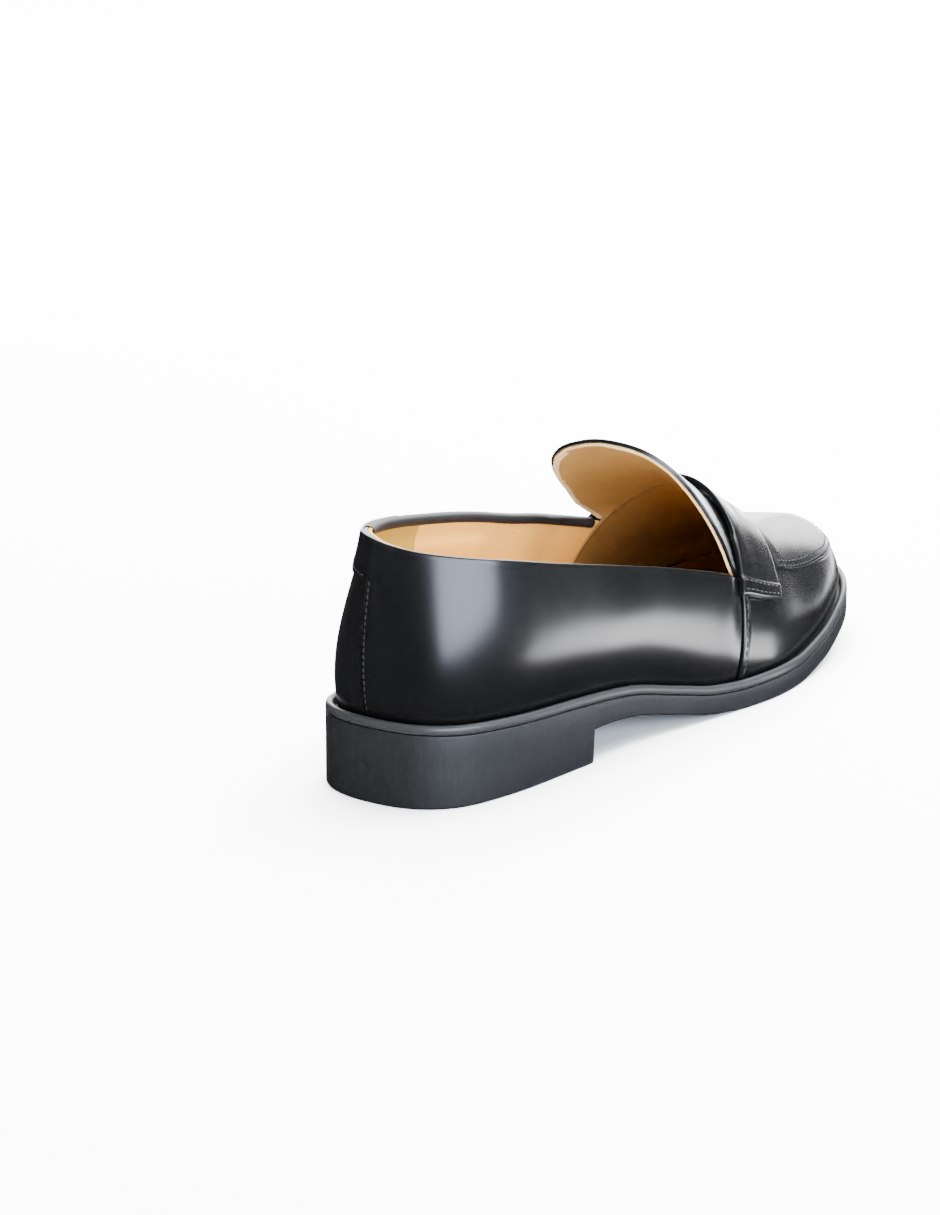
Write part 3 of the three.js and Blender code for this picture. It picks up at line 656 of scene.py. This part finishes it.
# Finishes made from two close colors, a soft cloudiness and a fine grain
finishes = {
    "mustardSuede": {
        "color": (0.36, 0.205, 0.016), "shade": (0.31, 0.172, 0.012),
        "rough": 0.95, "grain": 0.5, "scale": 1500},
    "tanLeather": {
        "color": (0.255, 0.145, 0.04), "shade": (0.21, 0.115, 0.028),
        "rough": 0.5, "grain": 0.12, "scale": 1900},
    "rawEdge": {
        "color": (0.56, 0.4, 0.19), "shade": (0.44, 0.29, 0.12),
        "rough": 0.95, "grain": 0.9, "scale": 2600},
    "cutEdge": {
        "color": (0.004, 0.004, 0.0047), "shade": (0.008, 0.008, 0.009),
        "rough": 0.55, "grain": 0.3, "scale": 1500},
    "waxThread": {
        "color": (0.004, 0.0042, 0.005), "shade": (0.009, 0.0095, 0.011),
        "rough": 0.68, "grain": 0.5, "scale": 5200},
    "insoleBoard": {
        "color": (0.38, 0.26, 0.13), "shade": (0.32, 0.21, 0.1),
        "rough": 0.9, "grain": 0.4, "scale": 900},
    "softFoam": {
        "color": (0.7, 0.65, 0.55), "shade": (0.6, 0.55, 0.45),
        "rough": 0.95, "grain": 0.6, "scale": 1200},
    "springSteel": {
        "color": (0.32, 0.34, 0.37), "shade": (0.25, 0.27, 0.3),
        "rough": 0.35, "grain": 0.1, "scale": 700, "metal": 1},
}


def napped(name):
    values = finishes[name]
    material, nodes, links, shader = newMaterial(name, values["color"], values["rough"])
    where = placeNode(nodes, links)
    soft = rangeNode(nodes, links, noiseNode(nodes, links, where, 90, 4), 0, 1)
    fine = noiseNode(nodes, links, where, values["scale"], 4, 0.7)
    links.new(mixNode(nodes, links, soft, values["color"], values["shade"]), shader.inputs["Base Color"])
    links.new(bumpNode(nodes, links, fine, values["grain"], 0.0002), shader.inputs["Normal"])
    shader.inputs["Metallic"].default_value = values.get("metal", 0)
    return material


print("materials")
upperLeather = boxLeather()
soleStuff = soleRubber()
beadStuff = beadRubber()
twill = twillCloth()
suede = napped("mustardSuede")
tanLeather = napped("tanLeather")
rawEdge = napped("rawEdge")
cutEdge = napped("cutEdge")
waxThread = napped("waxThread")
boardStuff = napped("insoleBoard")
foamStuff = napped("softFoam")
steelStuff = napped("springSteel")

# Pieces that stay hidden keep the solids' own meshes
for node, stuff in (
    ("insole_board", boardStuff), ("toe_puff", boardStuff), ("heel_counter", boardStuff),
    ("forepart_filler", foamStuff), ("heel_pad", foamStuff), ("shank", steelStuff),
    ("shank_rivet_rear", steelStuff), ("shank_rivet_front", steelStuff),
):
    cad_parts[node].data.materials.clear()
    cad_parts[node].data.materials.append(stuff)


soleShape = {"edgeRound": 0.9, "topRound": 0.45, "breastLean": 0.7, "shankSwell": 2.3, "topRim": 3.4}


def soleBottom(x):
    x = np.asarray(x, float)
    heel = form["heelLength"]
    arch = np.maximum(0, grooveZ(x) - form["soleEdge"] - soleShape["shankSwell"] * np.exp(-(x - heel) / 18))
    return np.where(x <= heel, 0, arch)


def makeSole():
    tip = outlineLine[:, 0].max()
    heel = form["heelLength"]
    back = heel * (1 - np.cos(np.linspace(0, math.pi / 2, 46)))[1:]
    lean = soleShape["breastLean"]
    front = heel + lean + (tip - heel - lean) * np.sin(np.linspace(0, math.pi / 2, 130))[:-1]
    xs = np.concatenate([back, [heel + 0.03], front])
    bottoms = np.concatenate([0 * back, [0.25], soleBottom(front)])
    outer = shareAt(xs, -1)
    inner = shareAt(xs, 1)
    count = len(xs)
    shares = np.concatenate([[0.0], outer, [toeShare], inner[::-1]])
    tipBottom = float(soleBottom(tip))
    bottom = np.concatenate([[0.0], bottoms, [tipBottom], bottoms[::-1]])
    ring = len(shares)
    base = outlineAt(shares)[0]
    top = grooveZ(base[:, 0])
    t, e = soleShape["topRound"], soleShape["edgeRound"]
    loops = []
    for angle in np.linspace(0, math.pi / 2, 5):
        inset = t - t * math.sin(angle)
        loops.append((inset, top - t + t * math.cos(angle)))
    for share in (0.3, 0.6):
        loops.append((0, mix(top - t, bottom + e, share)))
    for angle in np.linspace(0, math.pi / 2, 7):
        loops.append((e - e * math.cos(angle), bottom + e - e * math.sin(angle)))
    points = []
    for inset, height in [(soleShape["topRim"], top), *loops]:
        p = outlineAt(shares, inset)[0]
        p[:, 2] = height
        points.extend(p)
    faces = []
    for k in range(len(loops)):
        for i in range(ring):
            j = (i + 1) % ring
            faces.append([k * ring + i, (k + 1) * ring + i, (k + 1) * ring + j, k * ring + j])
    columns = np.linspace(0, 1, 9)

    # A cap is rows of points across, between the outer and the inner side of a loop
    def cap(loop, up):
        start = loop * ring
        rows = []
        for i in range(count):
            a, b = start + 1 + i, start + ring - 1 - i
            pa, pb = np.array(points[a]), np.array(points[b])
            row = [a]
            for share in columns[1:-1]:
                points.append(mix(pa, pb, share))
                row.append(len(points) - 1)
            rows.append([*row, b])
        for i in range(count - 1):
            for j in range(len(columns) - 1):
                quad = [rows[i][j], rows[i + 1][j], rows[i + 1][j + 1], rows[i][j + 1]]
                faces.append(quad if up else quad[::-1])
        for j in range(len(columns) - 1):
            first = [start, rows[0][j], rows[0][j + 1]]
            last = [start + 1 + count, rows[-1][j + 1], rows[-1][j]]
            faces.extend([first, last] if up else [first[::-1], last[::-1]])

    cap(0, True)
    cap(len(loops), False)
    piece = meshPiece("rubberSole", points, faces, soleStuff, sharp=40)
    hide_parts("outsole")


beadShape = {"width": 2.5, "low": 0.3, "high": 3.3, "steps": 700}


def makeBead():
    w, low, high, steps = [beadShape[key] for key in ("width", "low", "high", "steps")]
    section = [
        (w, low + 0.05), (0.35, low), (0.08, low + 0.12), (0, low + 0.4), (0, low + 1.3), (0.1, low + 1.9),
        (0.35, high - 0.45), (0.75, high - 0.12), (1.15, high), (1.6, high - 0.05), (2.1, high - 0.4),
        (w, high - 1),
    ]
    shares = np.arange(steps) / steps
    sides = len(section)
    rings, faces = [], []
    for inset, height in section:
        p = outlineAt(shares, inset)[0]
        p[:, 2] = grooveZ(p[:, 0]) + height
        rings.append(p)
    points = np.stack(rings, 1).reshape(-1, 3)
    for i in range(steps):
        here, ahead = i * sides, (i + 1) % steps * sides
        for j in range(sides):
            k = (j + 1) % sides
            faces.append([here + k, ahead + k, ahead + j, here + j])
    piece = meshPiece("rubberBead", points, faces, beadStuff, sharp=60)
    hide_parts("welt_bead")


print("sole and bead")
makeSole()
makeBead()


upper = {
    "thick": 1.2, "seamLift": 0.7, "apronLift": 0.75, "apronLap": 0.035, "roll": 0.8, "lapSink": 0.7,
    "apronTuck": (0.765, 0.812), "apronUnder": 0.5, "tuckSink": 0.6,
}
strap = {
    "front": 0.815, "frontEnd": 0.85, "rear": 0.995, "rearEnd": 1.022, "end": 0.365, "width": 25,
    "thick": 1.7, "seat": 0.3, "rearSeat": 1.1, "bar": 0.7, "slotReach": 6 / 14, "slotHalf": 1.6, "roll": 0.7,
}
seamStitch = {"pitch": 3.0, "length": 2.5, "radius": 0.27, "width": 1.1, "lift": 0.02}
apronStitch = {"pitch": 2.7, "length": 2.1, "radius": 0.25, "width": 1.1, "lift": 0.02}


def strapSide(side):
    reach = np.abs(np.asarray(side, float))
    front = mix(strap["front"], strap["frontEnd"], reach)
    rear = mix(strap["rear"], strap["rearEnd"], smooth(reach, 0.5, 1))
    middle = (front + rear) / 2
    share = reach / strap["slotReach"]
    perMillimetre = (strap["rear"] - strap["front"]) / strap["width"]
    opening = np.where(share < 0.999, strap["slotHalf"] * perMillimetre * (1 - share ** 2), 0)
    return front, middle - opening, middle + opening, rear


def strapPoint(side, f):
    side = np.asarray(side, float)
    f = np.asarray(f, float)
    if f.ndim > side.ndim:
        side = side[:, None]
    sign = np.where(side < 0, -1.0, 1.0)
    t = mix(1, strap["end"], np.abs(side)) + 0 * f
    return bezier(frontHandles(sign * f), t)


def makeVamp():
    stations, start, end = columnsOf(frontPoint, -0.998, 0.998, 170, upper["roll"])
    top = apronShare(np.abs(stations)) + upper["apronLap"]
    shares, _, high = byLength(frontPoint, stations, 0 * top, top, 44, low=False, high=False)
    grid = frontPoint(stations, shares)
    side = np.minimum(start, end)[:, None]
    lift = upper["seamLift"] * (1 - smooth(side, 1.8, 4.5)) - rolled(side, upper["roll"])
    lap = -upper["lapSink"] * (1 - smooth(high, 0.8, 2.0))
    piece = sheetPiece("vampLeather", grid, lift + lap, -upper["thick"] + lap, upperLeather)
    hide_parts("vamp")


# Stations from side to side of the forepart, closer together round the toe
def acrossToe(reach, count, middle):
    side = np.linspace(-reach, -0.2, count)
    return np.concatenate([side, np.linspace(-0.2, 0.2, middle)[1:-1], -side[::-1]])


# The apron's edge stands proud of the vamp, and sinks where it passes under the strap
def apronStep(stations):
    return 1 - smooth(np.abs(stations), *upper["apronTuck"])


def makeApron():
    stations = acrossToe(1, 80, 61)
    bottom = apronShare(np.abs(stations)) - 0.002
    shares, low, _ = byLength(frontPoint, stations, bottom, 0 * bottom + 1, 30, upper["roll"], True, False)
    grid = frontPoint(stations, shares)
    step = apronStep(stations)[:, None]
    lift = upper["apronLift"] * step - rolled(low, upper["roll"]) * step
    under = -upper["apronUnder"] + 0 * lift - upper["tuckSink"] * (1 - step)
    piece = sheetPiece("apronLeather", grid, lift, under, upperLeather)
    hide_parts("apron")
    run = np.linspace(-0.79, 0.79, 700)
    bottom = apronShare(np.abs(run)) - 0.002
    fine, along, _ = byLength(frontPoint, run, bottom, 0 * bottom + 1, 60, upper["roll"], True, False)
    for row, distance in (("Lower", 1.5), ("Upper", 3.6)):
        t = np.array([np.interp(distance, along[k], fine[k]) for k in range(len(run))])
        normals = surfaceNormals(frontPoint, run, t, 1)
        line = frontPoint(run, t) + normals * (upper["apronLift"] * apronStep(run))[:, None]
        piece = stitchRow(f"apronStitches{row}", line, normals, waxThread, apronStitch)
        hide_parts(f"apron_thread_{row.lower()}")


def makeStrap():
    stations, start, end = columnsOf(lambda s, h: strapPoint(s, strapSide(s)[0]), -1, 1, 150, upper["roll"])
    front, slotFront, slotRear, rear = strapSide(stations)
    frontBand, frontLow, frontHigh = byLength(strapPoint, stations, front, slotFront, 12, strap["roll"])
    rearBand, rearLow, rearHigh = byLength(strapPoint, stations, slotRear, rear, 12, strap["roll"])
    shares = np.concatenate([frontBand, rearBand], axis=1)
    opened = smooth((slotRear - slotFront)[:, None], 0, 0.012)
    frontRoll = rolled(frontLow, strap["roll"]) + rolled(frontHigh, strap["roll"]) * opened
    rearRoll = rolled(rearLow, strap["roll"]) * opened + rolled(rearHigh, strap["roll"])
    roll = np.concatenate([frontRoll, rearRoll], axis=1)
    grid = strapPoint(stations, shares)
    across = (shares - front[:, None]) / (rear - front)[:, None]
    seat = mix(strap["seat"], strap["rearSeat"], across)
    side = np.minimum(start, end)[:, None]
    bar = strap["bar"] * (1 - smooth(side, 4.6, 5.6))
    top = seat + strap["thick"] + bar - roll - rolled(side, strap["roll"])
    slot = np.zeros((len(stations) - 1, shares.shape[1] - 1), bool)
    slot[:, frontBand.shape[1] - 1] = True
    piece = sheetPiece("saddleStrap", grid, top, seat, upperLeather, skip=slot)
    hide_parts("saddle_strap")
    for name, side in (("outer", -1), ("inner", 1)):
        f = np.linspace(strap["frontEnd"] + 0.012, strap["rearEnd"] - 0.012, 60)
        height = mix(strap["seat"], strap["rearSeat"], np.linspace(0, 1, 60)) + strap["thick"] + strap["bar"]
        for k, inward in enumerate((0.018, 0.05)):
            t = 0 * f + strap["end"] + inward
            normals = surfaceNormals(frontPoint, side * f, t, 1)
            line = frontPoint(side * f, t) + normals * height[:, None]
            row = stitchRow(f"strapStitches_{name}_{k}", line, normals, waxThread, apronStitch)
            if k == 0:
                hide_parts(f"strap_end_thread_{name}")


def makeSideSeams():
    for name, side in (("outer", -1), ("inner", 1)):
        t = np.linspace(0.05, strap["end"] + 0.01, 160)
        f = 0 * t + side * 0.9845
        normals = surfaceNormals(frontPoint, f, t, 1)
        line = frontPoint(f, t) + normals * (upper["seamLift"] * 0.92)
        row = stitchRow(f"seamStitches_{name}", line, normals, waxThread, seamStitch)
        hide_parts(f"side_seam_thread_{name}")


tongue = {"leather": 1.3, "lining": 0.9, "span": 0.975, "rawEdge": 2.75, "trim": 0.7}


def makeTongue():
    stations = np.linspace(-tongue["span"], tongue["span"], 130)

    def pointAt(across, back):
        return tonguePoint(across[:, None] + 0 * back, back)

    shares, low, high = byLength(pointAt, stations, 0 * stations, 0 * stations + 1, 26, 0.5, False, True)
    top = 0 * low - rolled(high, 0.35)
    grid = pointAt(stations, shares)
    flap = sheetPiece("tongueLeather", grid, top, -tongue["leather"], upperLeather, body=None)
    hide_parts("tongue")
    under = -tongue["leather"] - 0.1
    ragged = tongue["trim"] * (1 + 0.16 * np.sin(stations * 61) + 0.12 * np.sin(stations * 143 + 1))
    shorter = low * (1 - ragged / low[:, -1])[:, None]
    trimmed = np.array([np.interp(shorter[k], low[k], shares[k]) for k in range(len(stations))])
    trimmed = np.concatenate([-0.05 + 0 * trimmed[:, :1], trimmed], axis=1)
    grid = pointAt(stations, trimmed)
    lining = sheetPiece("tongueLining", grid, under, under - tongue["lining"], tanLeather, body=None)
    lining.data.materials.append(rawEdge)
    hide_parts("tongue_lining")
    for polygon in lining.data.polygons:
        centre = np.array(polygon.center) * 1000 - shift
        if np.min(np.linalg.norm(grid[:, -1, :] - centre, axis=1)) < tongue["rawEdge"]:
            polygon.material_index = 1
    return [flap, lining]


backPart = {
    "seam": 0.009, "seamGap": 0.0007, "grip": 0.34, "gripUnder": 0.35, "liningFoot": 1.5, "liningThick": 0.8,
    "tabReach": 0.27, "tabLow": 0.76, "tabThick": 0.8, "tabSeat": 0.25, "fold": 2.6,
    "flapLow": 0.79, "flapReach": 0.042, "flapThick": 0.6, "underlayDepth": 0.85, "underlayThick": 0.5,
}
backStitch = {"pitch": 2.1, "length": 1.7, "radius": 0.24, "width": 1.1, "lift": 0.0}
tabStitch = {"pitch": 2.2, "length": 1.7, "radius": 0.22, "width": 1.1, "lift": 0.0}


def makeQuarters():
    for name, side in (("outer", -1), ("inner", 1)):
        seam = backPart["seam"] + side * backPart["seamGap"]
        stations, start, end = columnsOf(rearPoint, seam, side * 0.998, 130, 0.7)
        shares, _, high = byLength(rearPoint, stations, 0 * stations, 0 * stations + 1, 44, 0.7, False, True)
        grid = rearPoint(stations, shares)
        top = -rolled(high, 0.7) - rolled(start, 0.5)[:, None] - 0.5 * rolled(end, 0.7)[:, None]
        piece = sheetPiece(f"quarterLeather_{name}", grid, top, -upper["thick"], upperLeather, -side)
        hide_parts(f"quarter_{name}")


# The quarter's front edge runs on a little under the vamp
def makeUnderlays():
    t = np.linspace(0.02, 0.97, 60)
    f = np.linspace(0.01, 0.9, 200)
    depth = backPart["underlayDepth"]
    for name, side in (("outer", -1), ("inner", 1)):
        columns = []
        for share in (0.972, 0.995):
            g = 0 * t + side * share
            columns.append(rearPoint(g, t) - surfaceNormals(rearPoint, g, t, -1) * depth)
        for share in (0.985, 0.95):
            fine = frontPoint(0 * f + side * share, f)
            height = np.interp(columns[1][:, 2], fine[:, 2], f)
            along = 0 * t + side * share
            columns.append(frontPoint(along, height) - surfaceNormals(frontPoint, along, height, 1) * depth)
        bottom = -backPart["underlayThick"]
        piece = sheetPiece(f"quarterUnderlay_{name}", np.stack(columns), 0, bottom, upperLeather, -side)


# Linings lie under the leather, and deeper where a stiffener lies between them
def liningHeights(cover):
    top = -upper["thick"] - 0.3 - cover * 1.3
    return top, top - backPart["liningThick"]


def overCounter(g, t):
    return (1 - smooth(np.abs(g), 0.57, 0.65)) * (1 - smooth(t, 0.8, 0.9))


def rearLining(stations):
    handles = rearHandles(stations)
    low = shareOfHeight(handles, handles[:, 0, 2] + backPart["liningFoot"])
    shares, _, high = byLength(rearPoint, stations, low, 0 * low + 0.998, 40, 0.4, False, True)
    top, bottom = liningHeights(overCounter(stations[:, None], shares))
    return rearPoint(stations, shares), top, bottom, high


def makeLinings():
    for name, side in (("outer", -1), ("inner", 1)):
        stations, _, _ = columnsOf(rearPoint, side * (backPart["grip"] - 0.012), side * 0.998, 90, 0.4)
        grid, top, bottom, high = rearLining(stations)
        piece = sheetPiece(f"quarterLining_{name}", grid, top, bottom + rolled(high, 0.4), twill, -side)
        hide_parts(f"quarter_lining_{name}")
    grid, top, bottom, _ = rearLining(np.linspace(-backPart["grip"], backPart["grip"], 120))
    piece = sheetPiece("heelGrip", grid, top, bottom - backPart["gripUnder"], suede, -1)
    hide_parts("heel_grip")


# The inner topline's leather is turned over the edge and sewn down inside
def makeFold():
    stations = np.linspace(0.09, 0.985, 200)
    lows = 0.7 + 0 * stations
    shares, _, high = byLength(rearPoint, stations, lows, 0 * stations + 1, 60, 0.7, False, True)
    depth = backPart["fold"]
    profile = [
        (depth, -2.35), (depth - 0.15, -2.95), (depth - 0.5, -3.1), (1.2, -3.1), (0.5, -2.95), (0.14, -2.6),
        (0, -2.0), (0, -1.2), (0.1, -0.5), (0.35, -0.16),
    ]
    distances, heights = np.array(profile).T
    t = np.array([np.interp(distances, high[k][::-1], shares[k][::-1]) for k in range(len(stations))])
    normals = surfaceNormals(rearPoint, stations[:, None] + 0 * t, np.clip(t, 0, 0.995), -1)
    grid = rearPoint(stations, t) + normals * heights[None, :, None]
    points, faces = gridOf(grid, -1)[:2]
    piece = meshPiece("toplineFold", points, faces, cutEdge)
    thick = piece.modifiers.new("thickness", "SOLIDIFY")
    thick.thickness = 0.0003
    thick.offset = -1
    t = np.array([np.interp(depth - 0.8, high[k][::-1], shares[k][::-1]) for k in range(len(stations))])
    normals = surfaceNormals(rearPoint, stations, t, -1)
    row = stitchRow("foldStitches", rearPoint(stations, t) - normals * 3.12, -normals, waxThread, tabStitch)


def tabLow(g):
    return mix(backPart["tabLow"], 0.97, (g / backPart["tabReach"]) ** 2)


def makeTab():
    height = backPart["tabSeat"] + backPart["tabThick"]
    stations = np.linspace(backPart["tabReach"], backPart["seam"] + 0.004, 70)
    low = tabLow(stations)
    shares, fromLow, high = byLength(rearPoint, stations, low, 0 * low + 1, 18, 0.5)
    top = height - rolled(fromLow, 0.5) - rolled(high, 0.5)
    piece = sheetPiece("heelTab", rearPoint(stations, shares), top, 0.05, upperLeather, 1)
    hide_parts("heel_tab")
    g = np.linspace(0.012, backPart["tabReach"] * 0.85, 120)
    t = tabLow(g) + 0.035
    normals = surfaceNormals(rearPoint, g, t, -1)
    row = stitchRow("tabStitches", rearPoint(g, t) + normals * height, normals, waxThread, tabStitch)
    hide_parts("heel_tab_thread")


def makeBackSeam():
    t = np.linspace(0.07, backPart["flapLow"] - 0.01, 200)
    g = 0 * t + backPart["seam"] - 0.006
    normals = surfaceNormals(rearPoint, g, t, -1)
    row = stitchRow("backSeamStitches", rearPoint(g, t), normals, waxThread, backStitch)
    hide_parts("back_seam_thread")


# The outer quarter reaches over the top of the back seam as a rounded flap
def makeFlap():
    low, reach = backPart["flapLow"], backPart["flapReach"]
    t = low + (1 - low) * (1 - np.cos(np.linspace(0, math.pi, 50))) / 2
    rise = np.clip((t - low) / (1 - low), 0, 1)
    edge = backPart["seam"] + reach * np.clip(np.sin(math.pi * (0.06 + 0.72 * rise)), 0, 1) ** 0.6
    across = np.concatenate([1 - rollSteps / 14, np.linspace(1 - 1.1 / 14, 0, 26)])[::-1]
    g = mix(-0.055, edge[:, None], across)
    grid = rearPoint(g.reshape(-1), np.repeat(t, g.shape[1])).reshape(*g.shape, 3)
    rowPlaces = np.linalg.norm(grid - grid[-1:], axis=2)
    toEdge = (edge[:, None] - g) * 165
    lift = backPart["flapThick"] + 0.35
    slope = smooth(g, -0.055, 0.004) * lift
    foot = np.linalg.norm(grid - grid[:1], axis=2)
    roll = rolled(toEdge, 0.7) + rolled(rowPlaces, 0.7) + smooth(g, -0.03, 0.0) * rolled(foot, 0.5)
    piece = sheetPiece("quarterFlap", grid, np.maximum(slope - roll, -0.3) + 0.02, -0.35, upperLeather, 1)


inside = {"boardTop": 3.9, "sockInset": 9.2, "sockLift": 2.5, "sockThick": 1.2}


def makeVampLining():
    stations = acrossToe(1.014, 50, 41)
    handles = frontHandles(stations)
    low = shareOfHeight(handles, handles[:, 0, 2] + 5.4)
    shares = mix(low[:, None], 1, np.linspace(0, 1, 44))
    grid = frontPoint(stations, shares)
    cover = (1 - smooth(np.abs(stations[:, None]), 0.35, 0.43)) * (1 - smooth(shares, 0.68, 0.78))
    top, bottom = liningHeights(cover)
    piece = sheetPiece("vampLining", grid, top, bottom - 0.12, tanLeather, 1)
    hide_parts("vamp_lining")


def makeSock():
    inset = inside["sockInset"]
    backX = outlineAt(0.0, inset)[0][0] + 0.02
    frontX = outlineAt(toeShare, inset)[0][0] - 0.02
    xs = mix(backX, frontX, (1 - np.cos(np.linspace(0, math.pi, 120))) / 2)
    outer = outlineAt(shareAt(xs, -1, inset), inset)[0][:, 1]
    inner = outlineAt(shareAt(xs, 1, inset), inset)[0][:, 1]
    across = np.linspace(0, 1, 30)
    y = mix(outer[:, None], inner[:, None], across)
    lift = inside["sockLift"] * (1 - smooth(xs, form["heelLength"] - 6, form["heelLength"] + 24))
    dish = 1.6 * (2 * across - 1) ** 4
    z = (grooveZ(xs) + inside["boardTop"] + 0.3 + inside["sockThick"] + lift)[:, None] + dish
    grid = np.stack([xs[:, None] + 0 * y, y, z], -1)
    piece = sheetPiece("sockLiner", grid, 0, -inside["sockThick"], tanLeather, 1)
    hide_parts("sock_liner")


print("forepart")
makeVamp()
makeApron()
makeStrap()
makeSideSeams()
print("tongue")
for piece in makeTongue():
    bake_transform(piece)
print("back part")
makeQuarters()
makeUnderlays()
makeLinings()
makeFold()
makeTab()
makeBackSeam()
makeFlap()
print("inside")
makeVampLining()
makeSock()


studio = {
    "floorColor": (0.95, 0.95, 0.95), "floorSize": (18, 18),
    "worldColor": (0.93, 0.96, 1.0), "worldStrength": 0.06,
}


def flatPiece(name, size, material):
    x, y = size[0] / 2, size[1] / 2
    mesh = bpy.data.meshes.new(name)
    mesh.from_pydata([(-x, -y, 0), (x, -y, 0), (x, y, 0), (-x, y, 0)], [], [[0, 1, 2, 3]])
    mesh.materials.append(material)
    return addObject(name, mesh)


def makeFloor():
    material, nodes, links, shader = newMaterial("floorPaper", studio["floorColor"], 0.9)
    faint = noiseNode(nodes, links, placeNode(nodes, links), 3, 2)
    links.new(rangeNode(nodes, links, faint, 0.88, 0.92), shader.inputs["Roughness"])
    floor = flatPiece("floor", studio["floorSize"], material)
    floor.visible_glossy = False


# Soft boxes stand round the shoe at a compass angle, height angle and distance from it
softBoxes = {
    "overhead": {
        "turn": 15, "rise": 58, "away": 1.9, "size": (2.2, 2.2), "glow": 36, "mirrored": False,
        "tint": (1, 1, 1)},
    "fill": {
        "turn": 200, "rise": 65, "away": 1.9, "size": (2.0, 2.0), "glow": 13, "mirrored": False,
        "tint": (1, 1, 1)},
    "backdrop": {
        "turn": 36, "rise": 20, "away": 1.9, "size": (2.0, 1.1), "glow": 9.0, "mirrored": True,
        "tint": (1, 1, 1)},
    "skylight": {
        "turn": -14, "rise": 62, "away": 1.7, "size": (0.9, 0.9), "glow": 13.0, "mirrored": True,
        "tint": (0.95, 0.98, 1)},
    "sidelight": {
        "turn": -30, "rise": 38, "away": 1.8, "size": (1.3, 0.8), "glow": 2.8, "mirrored": True,
        "tint": (0.95, 0.98, 1)},
    "window": {
        "turn": -104, "rise": 18, "away": 1.8, "size": (2.4, 0.9), "glow": 16.0, "mirrored": True,
        "tint": (0.74, 0.84, 1)},
    "rim": {
        "turn": 155, "rise": 20, "away": 1.8, "size": (0.5, 0.8), "glow": 1.2, "mirrored": True,
        "tint": (1, 1, 1)},
}
cards = {
    "cardRight": {"place": (0.1, -0.165, 0.003), "size": (0.2, 0.12), "turn": -38, "glow": 1.15},
    "cardToe": {"place": (0.75, 0.36, 0.003), "size": (0.8, 1.0), "turn": 20, "glow": 3.5},
}


# Glowing cards lie flat by the shoe: the camera does not see them, only their light in the lower leather
def makeCards():
    for name, card in cards.items():
        material, _, _, shader = newMaterial(name + "Glow", (0.8, 0.8, 0.8), 0.9)
        shader.inputs["Emission Color"].default_value = (0.95, 0.98, 1, 1)
        shader.inputs["Emission Strength"].default_value = card["glow"]
        piece = flatPiece(name, card["size"], material)
        piece.location = card["place"]
        piece.rotation_euler.z = math.radians(card["turn"])
        piece.visible_camera = False
        piece.visible_diffuse = False
        piece.visible_shadow = False


def makeSoftBoxes():
    for name, box in softBoxes.items():
        turn, rise = math.radians(box["turn"]), math.radians(box["rise"])
        way = Vector((math.cos(turn) * math.cos(rise), math.sin(turn) * math.cos(rise), math.sin(rise)))
        light = bpy.data.lights.new(name, "AREA")
        light.shape = "RECTANGLE"
        light.size, light.size_y = box["size"]
        light.energy = box["glow"] * box["size"][0] * box["size"][1] * math.pi
        light.color = box["tint"]
        lamp = addObject(name, light)
        lamp.location = way * box["away"]
        lamp.rotation_mode = "QUATERNION"
        lamp.rotation_quaternion = (-way).to_track_quat("-Z", "Y")
        lamp.visible_glossy = box["mirrored"]


def makeWorld():
    world = bpy.data.worlds.new("studio")
    world.use_nodes = True
    back = world.node_tree.nodes["Background"]
    back.inputs["Color"].default_value = (*studio["worldColor"], 1)
    back.inputs["Strength"].default_value = studio["worldStrength"]
    bpy.context.scene.world = world


cameraSet = {"place": (-1.3191, -0.8878, 0.5128), "target": (-0.0741, 0.0043, 0.0500), "lens": 145.2}


def makeCamera():
    data = bpy.data.cameras.new("camera")
    data.sensor_width = 36
    data.lens = cameraSet["lens"]
    data.clip_start = 0.05
    data.clip_end = 60
    camera = addObject("camera", data)
    place, target = Vector(cameraSet["place"]), Vector(cameraSet["target"])
    camera.location = place
    camera.rotation_mode = "QUATERNION"
    camera.rotation_quaternion = (target - place).to_track_quat("-Z", "Y")
    bpy.context.scene.camera = camera


print("studio")
makeFloor()
makeWorld()
makeCards()
makeSoftBoxes()
makeCamera()
